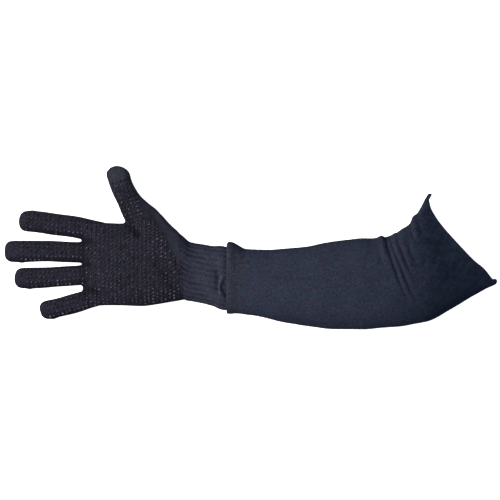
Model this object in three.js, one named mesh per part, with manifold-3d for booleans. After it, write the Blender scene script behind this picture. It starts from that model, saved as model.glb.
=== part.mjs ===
// Heat-resistant arm sleeve with a knitted work glove at its wrist, lying palm up as it is laid down.
// Millimetres. +X runs from the fingertips to the mouth of the sleeve, +Y to the thumb, +Z up.
// The origin is on the surface that it lies on, under the middle of its outline.

import * as THREE from "three";
import { mergeVertices } from "three/addons/utils/BufferGeometryUtils.js";
import Module from "manifold-3d";

// Driving dimensions
const KNIT_WALL = 1.8; // thickness of the knitted cloth
const GAP = 0.3; // clearance between neighbouring pieces
const FINGER_END_X = -184; // the four finger tubes join the hand here, at the crotches
const TUBE_POINTS = 16; // corners of a finger's section
const HAND_POINTS = 28; // corners of the palm's section
const SLEEVE_POINTS = 32; // corners of the sleeve's section
const FOREARM_STEPS = 8; // rings along the sleeve up to the elbow
const MOUTH_STEPS = 20; // closer rings from the elbow to the mouth
const ELBOW_ROW = 6; // the section at which the sleeve starts to bend
const FINE_POINTS = 360; // corners of a section before it is spaced out evenly
const WELD = 1e-4; // corners closer than this are one
const REACH = 300; // longer than any piece

// A soft tube at rest: how round its top and underside are, where it is widest and how far it is pressed flat
const TOP_ROUNDNESS = 2.2;
const UNDER_ROUNDNESS = 2.6;
const WIDEST_AT = 0.42; // share of the height
const PRESSED = 0.22; // share of the lower half that the surface flattens

// The glove's ribbed cuff
const RIBS = 38;
const POINTS_PER_RIB = 2;
const RIB_DEPTH = 0.9;

// The turned-back hem at the sleeve's wrist: it stands highest on the thumb's side
const HEM_CREST = 7.2;
const HEM_SIDE = 1.7;
const HEM_LEAST = 0.9;

// The slack rim of the mouth: its middle lags behind its two pointed corners
const RIM_LAG = 12.4;
const RIM_LAG_RISE = 4.3; // length along the rim over which the lag builds up from the upper corner
const RIM_LAG_FADE = 0.6; // power of its fall towards the lower corner

// Sections of the sleeve from wrist to mouth: edge a on the thumb's side, edge b on the other, the height,
// the lift off the surface and the share of the rim's lag
const SLEEVE_SECTIONS = [
  { ax: -27, ay: 1, bx: -27, by: -69.5, height: 44, lift: 2, lag: 0 },
  { ax: -9, ay: -2, bx: -9, by: -71.5, height: 46, lift: 1.5, lag: 0 },
  { ax: 17, ay: -3, bx: 15, by: -76, height: 50, lift: 0, lag: 0 },
  { ax: 49, ay: -1, bx: 47, by: -82.5, height: 53, lift: 0, lag: 0 },
  { ax: 82, ay: 4.5, bx: 82, by: -87, height: 55, lift: 0, lag: 0 },
  { ax: 114, ay: 9, bx: 116, by: -88, height: 55, lift: 0, lag: 0 },
  { ax: 138, ay: 10, bx: 147, by: -86.5, height: 54, lift: 0, lag: 0 },
  { ax: 153, ay: 13.5, bx: 170, by: -84, height: 52, lift: 0, lag: 0 },
  { ax: 166, ay: 20.5, bx: 194, by: -78.5, height: 48, lift: 0, lag: 0.05 },
  { ax: 176, ay: 32.5, bx: 216, by: -66.5, height: 42, lift: 0, lag: 0.2 },
  { ax: 183.5, ay: 42.5, bx: 237, by: -54.5, height: 35, lift: 0, lag: 0.45 },
  { ax: 188.8, ay: 51.5, bx: 254, by: -45.3, height: 29, lift: 0, lag: 0.75 },
  { ax: 193.8, ay: 58.5, bx: 265.4, by: -37, height: 25, lift: 0, lag: 1 },
];

// Folds where the sleeve bends at the elbow: grooves with raised shoulders, a ridge where depth is negative
const ELBOW_FOLDS = [
  { fromX: 141, fromY: 12, toX: 146, toY: -30, depth: -4.5, width: 6 },
  { fromX: 147, fromY: 11, toX: 171, toY: -60, depth: 5.5, width: 6.5 },
  { fromX: 156, fromY: 14, toX: 180, toY: -48, depth: 3.8, width: 6 },
  { fromX: 170, fromY: 24, toX: 188, toY: -16, depth: 3.4, width: 6.5 },
  { fromX: 180, fromY: 36, toX: 196, toY: 12, depth: 1.8, width: 6 },
];
const FOLD_SHOULDER = 1.3; // how strongly the cloth rises beside a groove
const FOLD_LEAD = 0.3; // share of a fold's length that it runs on past its start
const FOLD_FADE = 0.7; // how slowly a fold dies out towards its end
const FOLD_FROM = 8; // folds begin this far below the widest line
const FOLD_FULL = 6; // and are full this far above it

// Sections of the glove's cuff, the last of them hidden in the sleeve
const CUFF_SECTIONS = [
  { x: -71.2, top: 9.2, bottom: -56.5, height: 37, lift: 0 },
  { x: -61, top: 2.8, bottom: -58.2, height: 37.5, lift: 0 },
  { x: -40, top: 0, bottom: -63, height: 38, lift: 1.5 },
  { x: -29, top: -1.2, bottom: -66, height: 38, lift: 4.2 },
  { x: -10, top: -5.5, bottom: -67, height: 38, lift: 4.3 },
];

// The hem along the arm: how far its inside stands off the sleeve, and its share of the full bulge
const HEM_SECTIONS = [
  { x: -30, inside: -1.6, share: 0.05 },
  { x: -27.9, inside: -1.4, share: 0.2 },
  { x: -27.3, inside: GAP, share: 0.25 },
  { x: -25, inside: GAP, share: 0.68 },
  { x: -22, inside: GAP, share: 1 },
  { x: -17, inside: GAP, share: 0.78 },
  { x: -12, inside: GAP, share: 0.35 },
  { x: -8, inside: GAP, share: 0.05 },
];

// Sections of the palm from the finger crotches to the wrist
const PALM_SECTIONS = [
  { x: -181, top: 25, bottom: -61, height: 13, lift: 0 },
  { x: -172, top: 28, bottom: -64, height: 21.5, lift: 0 },
  { x: -156, top: 26.5, bottom: -63, height: 27, lift: 0 },
  { x: -138.5, top: 26, bottom: -63, height: 31, lift: 0 },
  { x: -125.5, top: 28, bottom: -63.5, height: 33, lift: 0 },
  { x: -112.5, top: 38, bottom: -63, height: 34, lift: 0 },
  { x: -99.5, top: 37.5, bottom: -61, height: 35, lift: 0 },
  { x: -86.5, top: 23.5, bottom: -58.5, height: 36, lift: 0 },
  { x: -71.5, top: 9.5, bottom: -56.5, height: 37, lift: 0 },
];

// Sections of the thumb from its round end into the ball of the thumb, by both edges
const THUMB_SECTIONS = [
  { ax: -130.5, ay: 78, bx: -154.2, by: 77, height: 19, lift: 0 },
  { ax: -126.7, ay: 67.5, bx: -151, by: 66, height: 20, lift: 0 },
  { ax: -120.2, ay: 57, bx: -146, by: 55.3, height: 21.5, lift: 0 },
  { ax: -111, ay: 48.3, bx: -141.3, by: 44.5, height: 24, lift: 0 },
  { ax: -100.8, ay: 39, bx: -136, by: 31.5, height: 27, lift: 0 },
  { ax: -91, ay: 27, bx: -131, by: 16.5, height: 30, lift: 0 },
  { ax: -80, ay: 12, bx: -123.5, by: -3, height: 32, lift: 0 },
];
const THUMB_TIP_LENGTH = 10.85;
const THUMB_JOIN_SECTION = 3.8; // the thumb tube meets the hand a little past the fourth section
const THUMB_HALF = 30; // half of a width that takes in the thumb and nothing else

// Fingers: the line of each from tip to root, its widths and heights, and the y that parts it from the next
const FINGERS_UPPER_SIDE = 40;
const FINGERS = [
  {
    name: "index_tube",
    lowerSide: 7.9,
    tip: [-249.5, 28],
    bend: [-206, 27],
    root: [-160, 15],
    tipWidth: 22.5,
    rootWidth: 24,
    tipHeight: 16.5,
    rootHeight: 20,
  },
  {
    name: "middle_tube",
    lowerSide: -18.2,
    tip: [-265.4, -4.5],
    bend: [-213, -3.5],
    root: [-158, -7.5],
    tipWidth: 22.5,
    rootWidth: 23,
    tipHeight: 17,
    rootHeight: 21,
  },
  {
    name: "ring_tube",
    lowerSide: -45.9,
    tip: [-254.5, -33.5],
    bend: [-207, -33],
    root: [-158, -28],
    tipWidth: 22,
    rootWidth: 22,
    tipHeight: 16.5,
    rootHeight: 20,
  },
  {
    name: "little_tube",
    lowerSide: -100,
    tip: [-227, -68],
    bend: [-193, -63],
    root: [-156, -49.5],
    tipWidth: 20,
    rootWidth: 20.5,
    tipHeight: 15,
    rootHeight: 18,
  },
];
const FINGER_STEPS = 5;
const TIP_LENGTH = 10; // round end of a finger
const TIP_ROUNDNESS = 2.5;
const TIP_STEPS = 4;
const TIP_START = 0.35; // the first ring lies this share of a step back from the very end
const TIP_HEIGHT = 0.45; // share of the height that the blunt end keeps

// Materials: heat-resistant knits in blue-black yarn
function knit(name, color, roughness) {
  return new THREE.MeshStandardMaterial({ name, color, roughness, metalness: 0 });
}
const sleeveKnit = knit("sleeve_knit", "#2f3340", 0.95);
const ribKnit = knit("rib_knit", "#333643", 0.95);
const gloveKnit = knit("glove_knit", "#2b2a32", 0.92);

const wasm = await Module();
wasm.setup();

// Rows of a table read at any place between them, on a smooth curve through each column.
function readRow(rows, place) {
  const first = Math.min(Math.max(Math.floor(place), 0), rows.length - 2);
  const t = place - first;
  const at = (index) => rows[Math.min(Math.max(index, 0), rows.length - 1)];
  const blended = {};
  for (const column of Object.keys(rows[0])) {
    const [p0, p1, p2, p3] = [-1, 0, 1, 2].map((step) => at(first + step)[column]);
    const slope1 = (p2 - p0) / 2;
    const slope2 = (p3 - p1) / 2;
    const bend = 2 * p1 - 2 * p2 + slope1 + slope2;
    blended[column] = p1 + t * (slope1 + t * (p2 - p1 - slope1 - bend + t * bend));
  }
  return blended;
}

// A section straight across the arm, as the two edges that every other section has.
function acrossArm({ x, top, bottom, height, lift }) {
  return { ax: x, ay: top, bx: x, by: bottom, height, lift };
}

const signedPower = (value, power) => Math.sign(value) * Math.abs(value) ** power;

// One section of a soft tube lying on a surface: evenly spaced corners from edge a over the top to edge b
// and back underneath. An inset gives the inside of its wall.
function sectionRing(section, points, inset = 0) {
  const { ax, ay, bx, by, height, lift } = section;
  const half = Math.hypot(ax - bx, ay - by) / 2 - inset;
  const widest = WIDEST_AT * height;
  const fine = [];
  for (let i = 0; i <= FINE_POINTS; i++) {
    const angle = (2 * Math.PI * i) / FINE_POINTS;
    const [c, s] = [Math.cos(angle), Math.sin(angle)];
    const roundness = s >= 0 ? TOP_ROUNDNESS : UNDER_ROUNDNESS;
    const rise = Math.abs(s) ** (2 / roundness);
    const above = widest + (height - inset - widest) * rise;
    const below = Math.max(inset, widest - (widest - inset) * (1 + PRESSED) * rise);
    fine.push(new THREE.Vector2(half * signedPower(c, 2 / roundness), s >= 0 ? above : below));
  }
  const base = new THREE.Vector3((ax + bx) / 2, (ay + by) / 2, Math.max(lift, 0));
  const across = new THREE.Vector3(ax - bx, ay - by, 0).normalize();
  const up = new THREE.Vector3(0, 0, 1);
  const placed = (p) => base.clone().addScaledVector(across, p.x).addScaledVector(up, p.y);
  return evenlySpaced(fine, points).map(placed);
}

// Corners at equal lengths round a closed outline, from its first point.
function evenlySpaced(fine, points) {
  const lengths = [0];
  for (let i = 1; i < fine.length; i++) {
    lengths.push(lengths[i - 1] + fine[i].distanceTo(fine[i - 1]));
  }
  const spaced = [];
  let at = 1;
  for (let k = 0; k < points; k++) {
    const wanted = (lengths[lengths.length - 1] * k) / points;
    while (lengths[at] < wanted) at++;
    const share = (wanted - lengths[at - 1]) / (lengths[at] - lengths[at - 1]);
    spaced.push(fine[at - 1].clone().lerp(fine[at], share));
  }
  return spaced;
}

// Triangles between two rings with the same number of corners.
function bridge(ringA, ringB) {
  const corners = [];
  ringA.forEach((p, i) => {
    const next = (i + 1) % ringA.length;
    corners.push(p, ringB[i], ringB[next], p, ringB[next], ringA[next]);
  });
  return corners;
}

const centreOf = (ring) => ring.reduce((sum, p) => sum.add(p), new THREE.Vector3()).divideScalar(ring.length);

// A closed end over a convex ring.
function cap(ring) {
  const centre = centreOf(ring);
  return ring.flatMap((p, i) => [centre, p, ring[(i + 1) % ring.length]]);
}

// A closed geometry from corners of triangles, turned so that its faces point out.
function closedGeometry(corners) {
  let volume = 0;
  for (let i = 0; i < corners.length; i += 3) {
    const cross = new THREE.Vector3().crossVectors(corners[i + 1], corners[i + 2]);
    volume += corners[i].dot(cross);
  }
  const ordered = volume < 0 ? corners.slice().reverse() : corners;
  return new THREE.BufferGeometry().setFromPoints(ordered);
}

const skin = (rings) => rings.slice(1).flatMap((ring, i) => bridge(rings[i], ring));

// A solid through rings, closed at both ends.
function loft(rings) {
  return closedGeometry([...cap(rings[0]), ...skin(rings), ...cap(rings[rings.length - 1]).reverse()]);
}

// A tube's wall between outer and inner rings, open at both ends.
function tubeWall(outer, inner) {
  const last = outer.length - 1;
  return closedGeometry([
    ...skin(outer),
    ...skin(inner).reverse(),
    ...bridge(inner[0], outer[0]),
    ...bridge(outer[last], inner[last]),
  ]);
}

// A geometry as a solid that can be cut and joined, and a solid as a geometry.
function solidOf(geometry) {
  const bare = geometry.clone().deleteAttribute("normal").deleteAttribute("uv");
  const merged = mergeVertices(bare, WELD);
  const vertProperties = new Float32Array(merged.attributes.position.array);
  const triVerts = new Uint32Array(merged.index.array);
  return new wasm.Manifold(new wasm.Mesh({ numProp: 3, vertProperties, triVerts }));
}

function geometryOf(solid) {
  const { vertProperties, triVerts } = solid.getMesh();
  const geometry = new THREE.BufferGeometry();
  geometry.setAttribute("position", new THREE.BufferAttribute(vertProperties, 3));
  geometry.setIndex(new THREE.BufferAttribute(triVerts, 1));
  geometry.computeVertexNormals();
  return geometry;
}

function named(name, geometry, material) {
  const mesh = new THREE.Mesh(geometry, material);
  mesh.name = name;
  return mesh;
}

// How far a place on the sleeve's upper side is pushed out by the folds.
function foldHeight(x, y) {
  return ELBOW_FOLDS.reduce((sum, fold) => {
    const line = new THREE.Vector2(fold.toX - fold.fromX, fold.toY - fold.fromY);
    const from = new THREE.Vector2(x - fold.fromX, y - fold.fromY);
    const along = from.dot(line) / line.lengthSq();
    const off = Math.abs(from.cross(line)) / line.length() / fold.width;
    const inside = along < 1 && along > -FOLD_LEAD;
    const fade = inside ? Math.cos((Math.PI / 2) * Math.max(along, 0)) ** FOLD_FADE : 0;
    return sum - fold.depth * fade * (1 - FOLD_SHOULDER * off * off) * Math.exp(-off * off);
  }, 0);
}

// How far behind its corners the rim lies, at a share of the way from the upper corner to the lower one.
function rimLag(share, width) {
  const build = 1 - Math.exp((-share * width) / RIM_LAG_RISE);
  return RIM_LAG * build * Math.max(1 - share, 0) ** RIM_LAG_FADE;
}

// One ring of the sleeve, with its folds and its slack rim.
function sleeveRing(section, inset) {
  const width = Math.hypot(section.ax - section.bx, section.ay - section.by);
  const across = new THREE.Vector3(section.bx - section.ax, section.by - section.ay, 0).normalize();
  const back = new THREE.Vector3(across.y, -across.x, 0);
  const edgeA = new THREE.Vector3(section.ax, section.ay, 0);
  const middle = edgeA.clone().addScaledVector(across, width / 2);
  middle.z = section.lift + section.height * WIDEST_AT;
  const outer = sectionRing(section, SLEEVE_POINTS);
  return sectionRing(section, SLEEVE_POINTS, inset).map((point, i) => {
    const share = outer[i].clone().sub(edgeA).dot(across) / width;
    const outward = outer[i].clone().sub(middle).normalize();
    const upper = THREE.MathUtils.smoothstep(outer[i].z, middle.z - FOLD_FROM, middle.z + FOLD_FULL);
    return point
      .clone()
      .addScaledVector(outward, upper * foldHeight(outer[i].x, outer[i].y))
      .addScaledVector(back, section.lag * rimLag(share, width));
  });
}

function makeSleeve() {
  const lastRow = SLEEVE_SECTIONS.length - 1;
  const places = [];
  for (let i = 0; i < FOREARM_STEPS; i++) {
    places.push((ELBOW_ROW * i) / FOREARM_STEPS);
  }
  for (let i = 0; i <= MOUTH_STEPS; i++) {
    places.push(ELBOW_ROW + ((lastRow - ELBOW_ROW) * i) / MOUTH_STEPS);
  }
  const rings = (inset) => places.map((place) => sleeveRing(readRow(SLEEVE_SECTIONS, place), inset));
  return named("sleeve_body", tubeWall(rings(0), rings(KNIT_WALL)), sleeveKnit);
}

// A ring moved out along its own outline's normal, and kept above the surface it lies on.
function swollen(ring, outBy) {
  const centre = centreOf(ring);
  return ring.map((point, i) => {
    const along = ring[(i + 1) % ring.length].clone().sub(ring[(i + ring.length - 1) % ring.length]);
    const normal = new THREE.Vector3(0, along.z, -along.y).normalize();
    if (normal.dot(point.clone().sub(centre)) < 0) normal.negate();
    const moved = point.clone().addScaledVector(normal, outBy(i / ring.length));
    moved.z = Math.max(moved.z, 0);
    return moved;
  });
}

// The sleeve's outline across its straight wrist end, carried on ahead of it.
function wristRing(x) {
  const [first, second] = SLEEVE_SECTIONS;
  const place = Math.max((x - first.ax) / (second.ax - first.ax), 0);
  return sectionRing({ ...readRow(SLEEVE_SECTIONS, place), ax: x, bx: x }, SLEEVE_POINTS);
}

function makeHem() {
  const thumbSide = (turn) => (0.5 + 0.5 * Math.cos(2 * Math.PI * turn)) ** 2;
  const bulge = (turn) => HEM_SIDE + (HEM_CREST - HEM_SIDE) * thumbSide(turn);
  const outer = HEM_SECTIONS.map(({ x, inside, share }) =>
    swollen(wristRing(x), (turn) => inside + Math.max(HEM_LEAST, share * bulge(turn))),
  );
  const inner = HEM_SECTIONS.map(({ x, inside }) => swollen(wristRing(x), () => inside));
  return named("wrist_hem", tubeWall(outer, inner), sleeveKnit);
}

function makeCuff() {
  const points = RIBS * POINTS_PER_RIB;
  const ribbed = (turn) => -RIB_DEPTH * (0.5 - 0.5 * Math.cos(2 * Math.PI * RIBS * turn));
  const sections = CUFF_SECTIONS.map(acrossArm);
  const outer = sections.map((section) => swollen(sectionRing(section, points), ribbed));
  const inner = sections.map((section) => sectionRing(section, points, RIB_DEPTH + KNIT_WALL));
  return named("rib_cuff", tubeWall(outer, inner), ribKnit);
}

// Rings of a rounded end, from its point back to where the tube has its full section.
function tipSections(full, direction, length, inset) {
  const middle = [(full.ax + full.bx) / 2, (full.ay + full.by) / 2];
  return Array.from({ length: TIP_STEPS }, (_, step) => {
    const back = (1 - Math.cos((Math.PI / 2) * ((step + TIP_START) / TIP_STEPS))) * (length - inset);
    const share = (1 - (1 - back / (length - inset)) ** TIP_ROUNDNESS) ** (1 / TIP_ROUNDNESS);
    const shift = length - inset - back;
    const edge = (ex, ey) => [
      middle[0] + (ex - middle[0]) * share + direction.x * shift,
      middle[1] + (ey - middle[1]) * share + direction.y * shift,
    ];
    const [ax, ay] = edge(full.ax, full.ay);
    const [bx, by] = edge(full.bx, full.by);
    const height = full.height * THREE.MathUtils.lerp(TIP_HEIGHT, 1, share);
    return { ax, ay, bx, by, height, lift: full.lift };
  });
}

// A finger's or thumb's solid from its point to its root; inset gives the hollow inside it.
function tubeLoft(sections, direction, tipLength, inset) {
  const all = [...tipSections(sections[0], direction, tipLength, inset), ...sections];
  return solidOf(loft(all.map((section) => sectionRing(section, TUBE_POINTS, inset))));
}

function fingerLoft(finger, inset) {
  const [tip, bend, root] = [finger.tip, finger.bend, finger.root].map(([x, y]) => new THREE.Vector2(x, y));
  const line = new THREE.QuadraticBezierCurve(tip, bend, root);
  const start = TIP_LENGTH / line.getLength();
  const sections = Array.from({ length: FINGER_STEPS }, (_, step) => {
    const share = start + ((1 - start) * step) / (FINGER_STEPS - 1);
    const centre = line.getPointAt(share);
    const along = line.getTangentAt(share);
    const half = THREE.MathUtils.lerp(finger.tipWidth, finger.rootWidth, share) / 2;
    return {
      ax: centre.x - along.y * half,
      ay: centre.y + along.x * half,
      bx: centre.x + along.y * half,
      by: centre.y - along.x * half,
      height: THREE.MathUtils.lerp(finger.tipHeight, finger.rootHeight, share),
      lift: 0,
    };
  });
  return tubeLoft(sections, line.getTangentAt(start).negate(), TIP_LENGTH, inset);
}

function thumbLoft(inset) {
  const [first, second] = THUMB_SECTIONS.map(({ ax, ay, bx, by }) => new THREE.Vector2(ax + bx, ay + by));
  return tubeLoft(THUMB_SECTIONS, first.sub(second).normalize(), THUMB_TIP_LENGTH, inset);
}

// The palm's solid; its hollow runs on through the wrist.
function palmLoft(inset) {
  const onward = (row) => ({ ...row, x: row.x + inset });
  const [front, ...others] = PALM_SECTIONS;
  const rows = [onward(front), ...others];
  if (inset > 0) rows.push(onward(others[others.length - 1]));
  const sections = rows.map(acrossArm);
  return solidOf(loft(sections.map((section) => sectionRing(section, HAND_POINTS, inset))));
}

// A tall block that takes in all of the glove within its sides, turned about a point on the surface.
function cutBlock(minX, maxX, minY, maxY, turn = 0, aboutX = 0, aboutY = 0) {
  const block = new THREE.BoxGeometry(maxX - minX, maxY - minY, REACH);
  block.translate((minX + maxX) / 2, (minY + maxY) / 2, 0);
  block.rotateZ(turn);
  block.translate(aboutX, aboutY, 0);
  return solidOf(block);
}

// The seamless glove, parted where each finger tube is joined to the hand.
function makeGlove() {
  const shape = (inset) => {
    const fingers = FINGERS.map((finger) => fingerLoft(finger, inset));
    return fingers.reduce((sum, finger) => sum.add(finger), palmLoft(inset).add(thumbLoft(inset)));
  };
  const glove = shape(0).subtract(shape(KNIT_WALL));

  const fingers = FINGERS.map((finger, i) => {
    const above = i === 0 ? FINGERS_UPPER_SIDE : FINGERS[i - 1].lowerSide - GAP / 2;
    const block = cutBlock(-REACH, FINGER_END_X - GAP, finger.lowerSide + GAP / 2, above);
    return named(finger.name, geometryOf(glove.intersect(block)), gloveKnit);
  });

  const join = readRow(THUMB_SECTIONS, THUMB_JOIN_SECTION);
  const turn = Math.atan2(join.ay - join.by, join.ax - join.bx);
  const beyondJoin = (start) =>
    cutBlock(-THUMB_HALF, THUMB_HALF, start, REACH, turn, (join.ax + join.bx) / 2, (join.ay + join.by) / 2);
  const thumb = named("thumb_tube", geometryOf(glove.intersect(beyondJoin(GAP))), gloveKnit);

  const beyondFingers = cutBlock(-REACH, FINGER_END_X, -REACH, FINGERS_UPPER_SIDE);
  const hand = named("hand", geometryOf(glove.subtract(beyondFingers).subtract(beyondJoin(0))), gloveKnit);
  return [...fingers, thumb, hand];
}

const part = new THREE.Group();
part.add(...makeGlove(), makeCuff(), makeHem(), makeSleeve());

export default part;
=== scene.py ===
import math

import bmesh
import bpy
import numpy as np
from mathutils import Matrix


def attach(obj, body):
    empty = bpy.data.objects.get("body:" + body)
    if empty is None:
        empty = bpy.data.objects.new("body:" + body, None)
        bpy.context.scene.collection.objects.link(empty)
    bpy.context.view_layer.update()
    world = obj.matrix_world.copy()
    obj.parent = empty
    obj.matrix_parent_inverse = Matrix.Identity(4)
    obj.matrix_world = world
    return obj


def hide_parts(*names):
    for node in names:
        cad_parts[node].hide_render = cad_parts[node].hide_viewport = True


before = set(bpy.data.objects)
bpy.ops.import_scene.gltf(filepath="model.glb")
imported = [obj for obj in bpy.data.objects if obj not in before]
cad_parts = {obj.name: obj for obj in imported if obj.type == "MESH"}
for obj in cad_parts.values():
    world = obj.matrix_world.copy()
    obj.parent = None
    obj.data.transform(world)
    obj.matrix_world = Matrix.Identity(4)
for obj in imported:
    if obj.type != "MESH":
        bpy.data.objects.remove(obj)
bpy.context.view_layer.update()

# Hand and fingers of the glove
# A seamless work glove, machine knitted in one piece from near-black yarn: four fingers and a thumb with
# blunt closed ends run into the hand, which is open at the wrist. It lies palm up, filled out as by a hand.
# All sizes and places of the cloth are in millimetres.
MM = 0.001
GLOVE_WALL = 1.5
TIP_LENGTH = 10.4
TIP_ROUNDNESS = 2.5
THUMB_TIP_LENGTH = 10.6
THUMB_TIP_ROUNDNESS = 1.8
TIP_HEIGHT = 0.45
TIP_LIFT = 0.2
TIP_STEPS = 12
TIP_FIRST_STEP = 0.3
FINGER_STEPS = 36
HAND_STEPS = 72
TUBE_POINTS = 64
CURVE_POINTS = 400
OUTLINE_POINTS = 1441
GLOVE_GRAIN = 1.2
GLOVE_SMOOTHING = 8
WRIST_X = -75.4
WRIST_LEAN = 0.071

# Fingers: tip, bend and root in plan, and the width and the height at the tip and at the root
FINGERS = {
    "index": {"line": [(-249.5, 28), (-206, 27), (-160, 15)], "wide": (22.5, 24), "high": (16.5, 20)},
    "middle": {"line": [(-265.8, -4.5), (-213, -3.5), (-158, -7.2)], "wide": (23, 22), "high": (17, 21)},
    "ring": {"line": [(-254.9, -33.5), (-207, -33), (-158, -28.6)], "wide": (22.6, 21.2), "high": (16.5, 20)},
    "little": {"line": [(-227.3, -69.2), (-193, -63.4), (-156, -49.8)], "wide": (20.6, 21), "high": (15, 18)},
}
# Sections of the thumb and of the hand: edge a, edge b, height and lift
THUMB_SECTIONS = [
    (-129.6, 78, -155.4, 77, 19, 0),
    (-126.4, 67.5, -152.2, 66, 20, 0),
    (-119.8, 57, -147.4, 55.3, 21.5, 0),
    (-110.6, 48.3, -142.6, 44.5, 24, 0),
    (-100.2, 39, -136.6, 31.5, 27, 0),
    (-90.2, 27, -131, 16.5, 30, 0),
    (-80, 12, -123.5, -3, 32, 0),
]
HAND_SECTIONS = [
    (-181, 25, -181, -61, 13, 0),
    (-172, 28, -172, -64, 21.5, 0),
    (-156, 26.5, -156, -63, 27, 0),
    (-138.5, 26, -138.5, -63, 31, 0),
    (-125.5, 28, -125.5, -63.5, 33, 0),
    (-112.5, 38, -112.5, -63.6, 34, 0),
    (-99.5, 37.5, -99.5, -62, 35, 0),
    (-86.5, 24.8, -86.5, -59.4, 36, 0),
    (-71.5, 11.4, -71.5, -57.4, 37, 0),
    (-62, 4, -62, -58.5, 37.5, 0),
]


def read_rows(rows, places):
    """Rows of a table read at any place between them, on a smooth curve through each column."""
    rows = np.asarray(rows, float)
    places = np.asarray(places, float)
    first = np.clip(np.floor(places).astype(int), 0, len(rows) - 2)
    t = (places - first)[:, None]
    before, start, end, after = (rows[np.clip(first + step, 0, len(rows) - 1)] for step in (-1, 0, 1, 2))
    slope_start = (end - before) / 2
    slope_end = (after - start) / 2
    bend = 2 * start - 2 * end + slope_start + slope_end
    return start + t * (slope_start + t * (end - start - slope_start - bend + t * bend))


def length_along(line):
    """How far each point of a line lies from its start, measured along it."""
    return np.concatenate([[0], np.cumsum(np.linalg.norm(np.diff(line, axis=0), axis=1))])


# A soft tube at rest: how round it is, where it is widest, how far it is pressed flat
ROUNDNESS = 2.6
WIDEST_AT = 0.42
PRESSED = 0.22


def soft_outline(width, height, points, flatness=0.0):
    """Evenly spaced points round a soft tube's section, from edge a over the top and back underneath."""
    angle = np.linspace(0, 2 * math.pi, OUTLINE_POINTS)
    c, s = np.cos(angle), np.sin(angle)
    power = 2 / (ROUNDNESS * (1 - flatness))
    rise = np.abs(s) ** power
    across = width / 2 * np.sign(c) * np.abs(c) ** power
    widest = WIDEST_AT * height
    above = widest + (height - widest) * rise
    below = np.maximum(0, widest * (1 - (1 + PRESSED) * rise))
    up = np.where(s >= 0, above, below)
    length = length_along(np.stack([across, up], axis=1))
    wanted = np.linspace(0, length[-1], points, endpoint=False)
    return np.interp(wanted, length, across), np.interp(wanted, length, up)


def soft_rings(sections, points, flatness=0.0):
    """Rings of points of a soft tube through its sections."""
    rings = []
    for (ax, ay, bx, by, height, lift), flat in zip(sections, np.broadcast_to(flatness, len(sections))):
        width = math.hypot(ax - bx, ay - by)
        across, up = soft_outline(width, height, points, flat)
        x = (ax + bx) / 2 + (ax - bx) / width * across
        y = (ay + by) / 2 + (ay - by) / width * across
        rings.append(np.stack([x, y, max(lift, 0) + up], axis=1))
    return np.array(rings)


def skin_faces(rows, points):
    """Faces between neighbouring rings, pointing outwards."""
    row, point = np.meshgrid(np.arange(rows - 1), np.arange(points), indexing="ij")
    here = row * points
    after = (point + 1) % points
    corners = [here + point, here + after, here + points + after, here + points + point]
    return np.stack(corners, axis=-1).reshape(-1, 4)


def round_end(sections, length, roundness):
    """Sections with a round closed end put before the first of them."""
    height, lift = sections[0, 4:]
    middle, behind_it = (sections[:2, 0:2] + sections[:2, 2:4]) / 2
    forward = (middle - behind_it) / np.linalg.norm(middle - behind_it)
    end = []
    for step in range(TIP_STEPS):
        behind = (1 - math.cos(math.pi / 2 * (step + TIP_FIRST_STEP) / TIP_STEPS)) * length
        share = (1 - (1 - behind / length) ** roundness) ** (1 / roundness)
        shift = middle + forward * (length - behind)
        edge_a = shift + (sections[0, 0:2] - middle) * share
        edge_b = shift + (sections[0, 2:4] - middle) * share
        high = height * (TIP_HEIGHT + (1 - TIP_HEIGHT) * share)
        end.append((*edge_a, *edge_b, high, lift + TIP_LIFT * height * (1 - share)))
    return np.concatenate([end, sections])


def finger_sections(line, wide, high):
    """Sections along a finger's bent line, from where its round end starts to its root in the hand."""
    share = np.linspace(0, 1, CURVE_POINTS)[:, None]
    tip, bend, root = np.array(line, float)
    curve = (1 - share) ** 2 * tip + 2 * share * (1 - share) * bend + share**2 * root
    length = length_along(curve)
    wanted = np.linspace(TIP_LENGTH, length[-1], FINGER_STEPS)
    centre = np.stack([np.interp(wanted, length, curve[:, i]) for i in range(2)], axis=1)
    along = np.gradient(centre, axis=0)
    along /= np.linalg.norm(along, axis=1)[:, None]
    half = np.interp(wanted / length[-1], (0, 1), wide) / 2
    height = np.interp(wanted / length[-1], (0, 1), high)
    side = np.stack([-along[:, 1], along[:, 0]], axis=1) * half[:, None]
    return np.column_stack([centre + side, centre - side, height, np.zeros(FINGER_STEPS)])


limbs = {name: round_end(finger_sections(**row), TIP_LENGTH, TIP_ROUNDNESS) for name, row in FINGERS.items()}
thumb_rows = read_rows(THUMB_SECTIONS, np.linspace(0, len(THUMB_SECTIONS) - 1, FINGER_STEPS))
limbs["thumb"] = round_end(thumb_rows, THUMB_TIP_LENGTH, THUMB_TIP_ROUNDNESS)
limbs["hand"] = read_rows(HAND_SECTIONS, np.linspace(0, len(HAND_SECTIONS) - 1, HAND_STEPS))

corners = []
faces = []
for sections in limbs.values():
    base = len(corners)
    last = base + (len(sections) - 1) * TUBE_POINTS
    corners += soft_rings(sections, TUBE_POINTS).reshape(-1, 3).tolist()
    faces += (skin_faces(len(sections), TUBE_POINTS) + base).tolist()
    faces.append([base + i for i in reversed(range(TUBE_POINTS))])
    faces.append([last + i for i in range(TUBE_POINTS)])


def new_object(name, data):
    """A new object, put in the scene."""
    made = bpy.data.objects.new(name, data)
    bpy.context.scene.collection.objects.link(made)
    return made


def new_piece(name, corners, faces):
    """A new object with its mesh, from corners in millimetres."""
    mesh = bpy.data.meshes.new(name)
    mesh.from_pydata((np.asarray(corners) * MM).tolist(), [], faces)
    return new_object(name, mesh)


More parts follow.
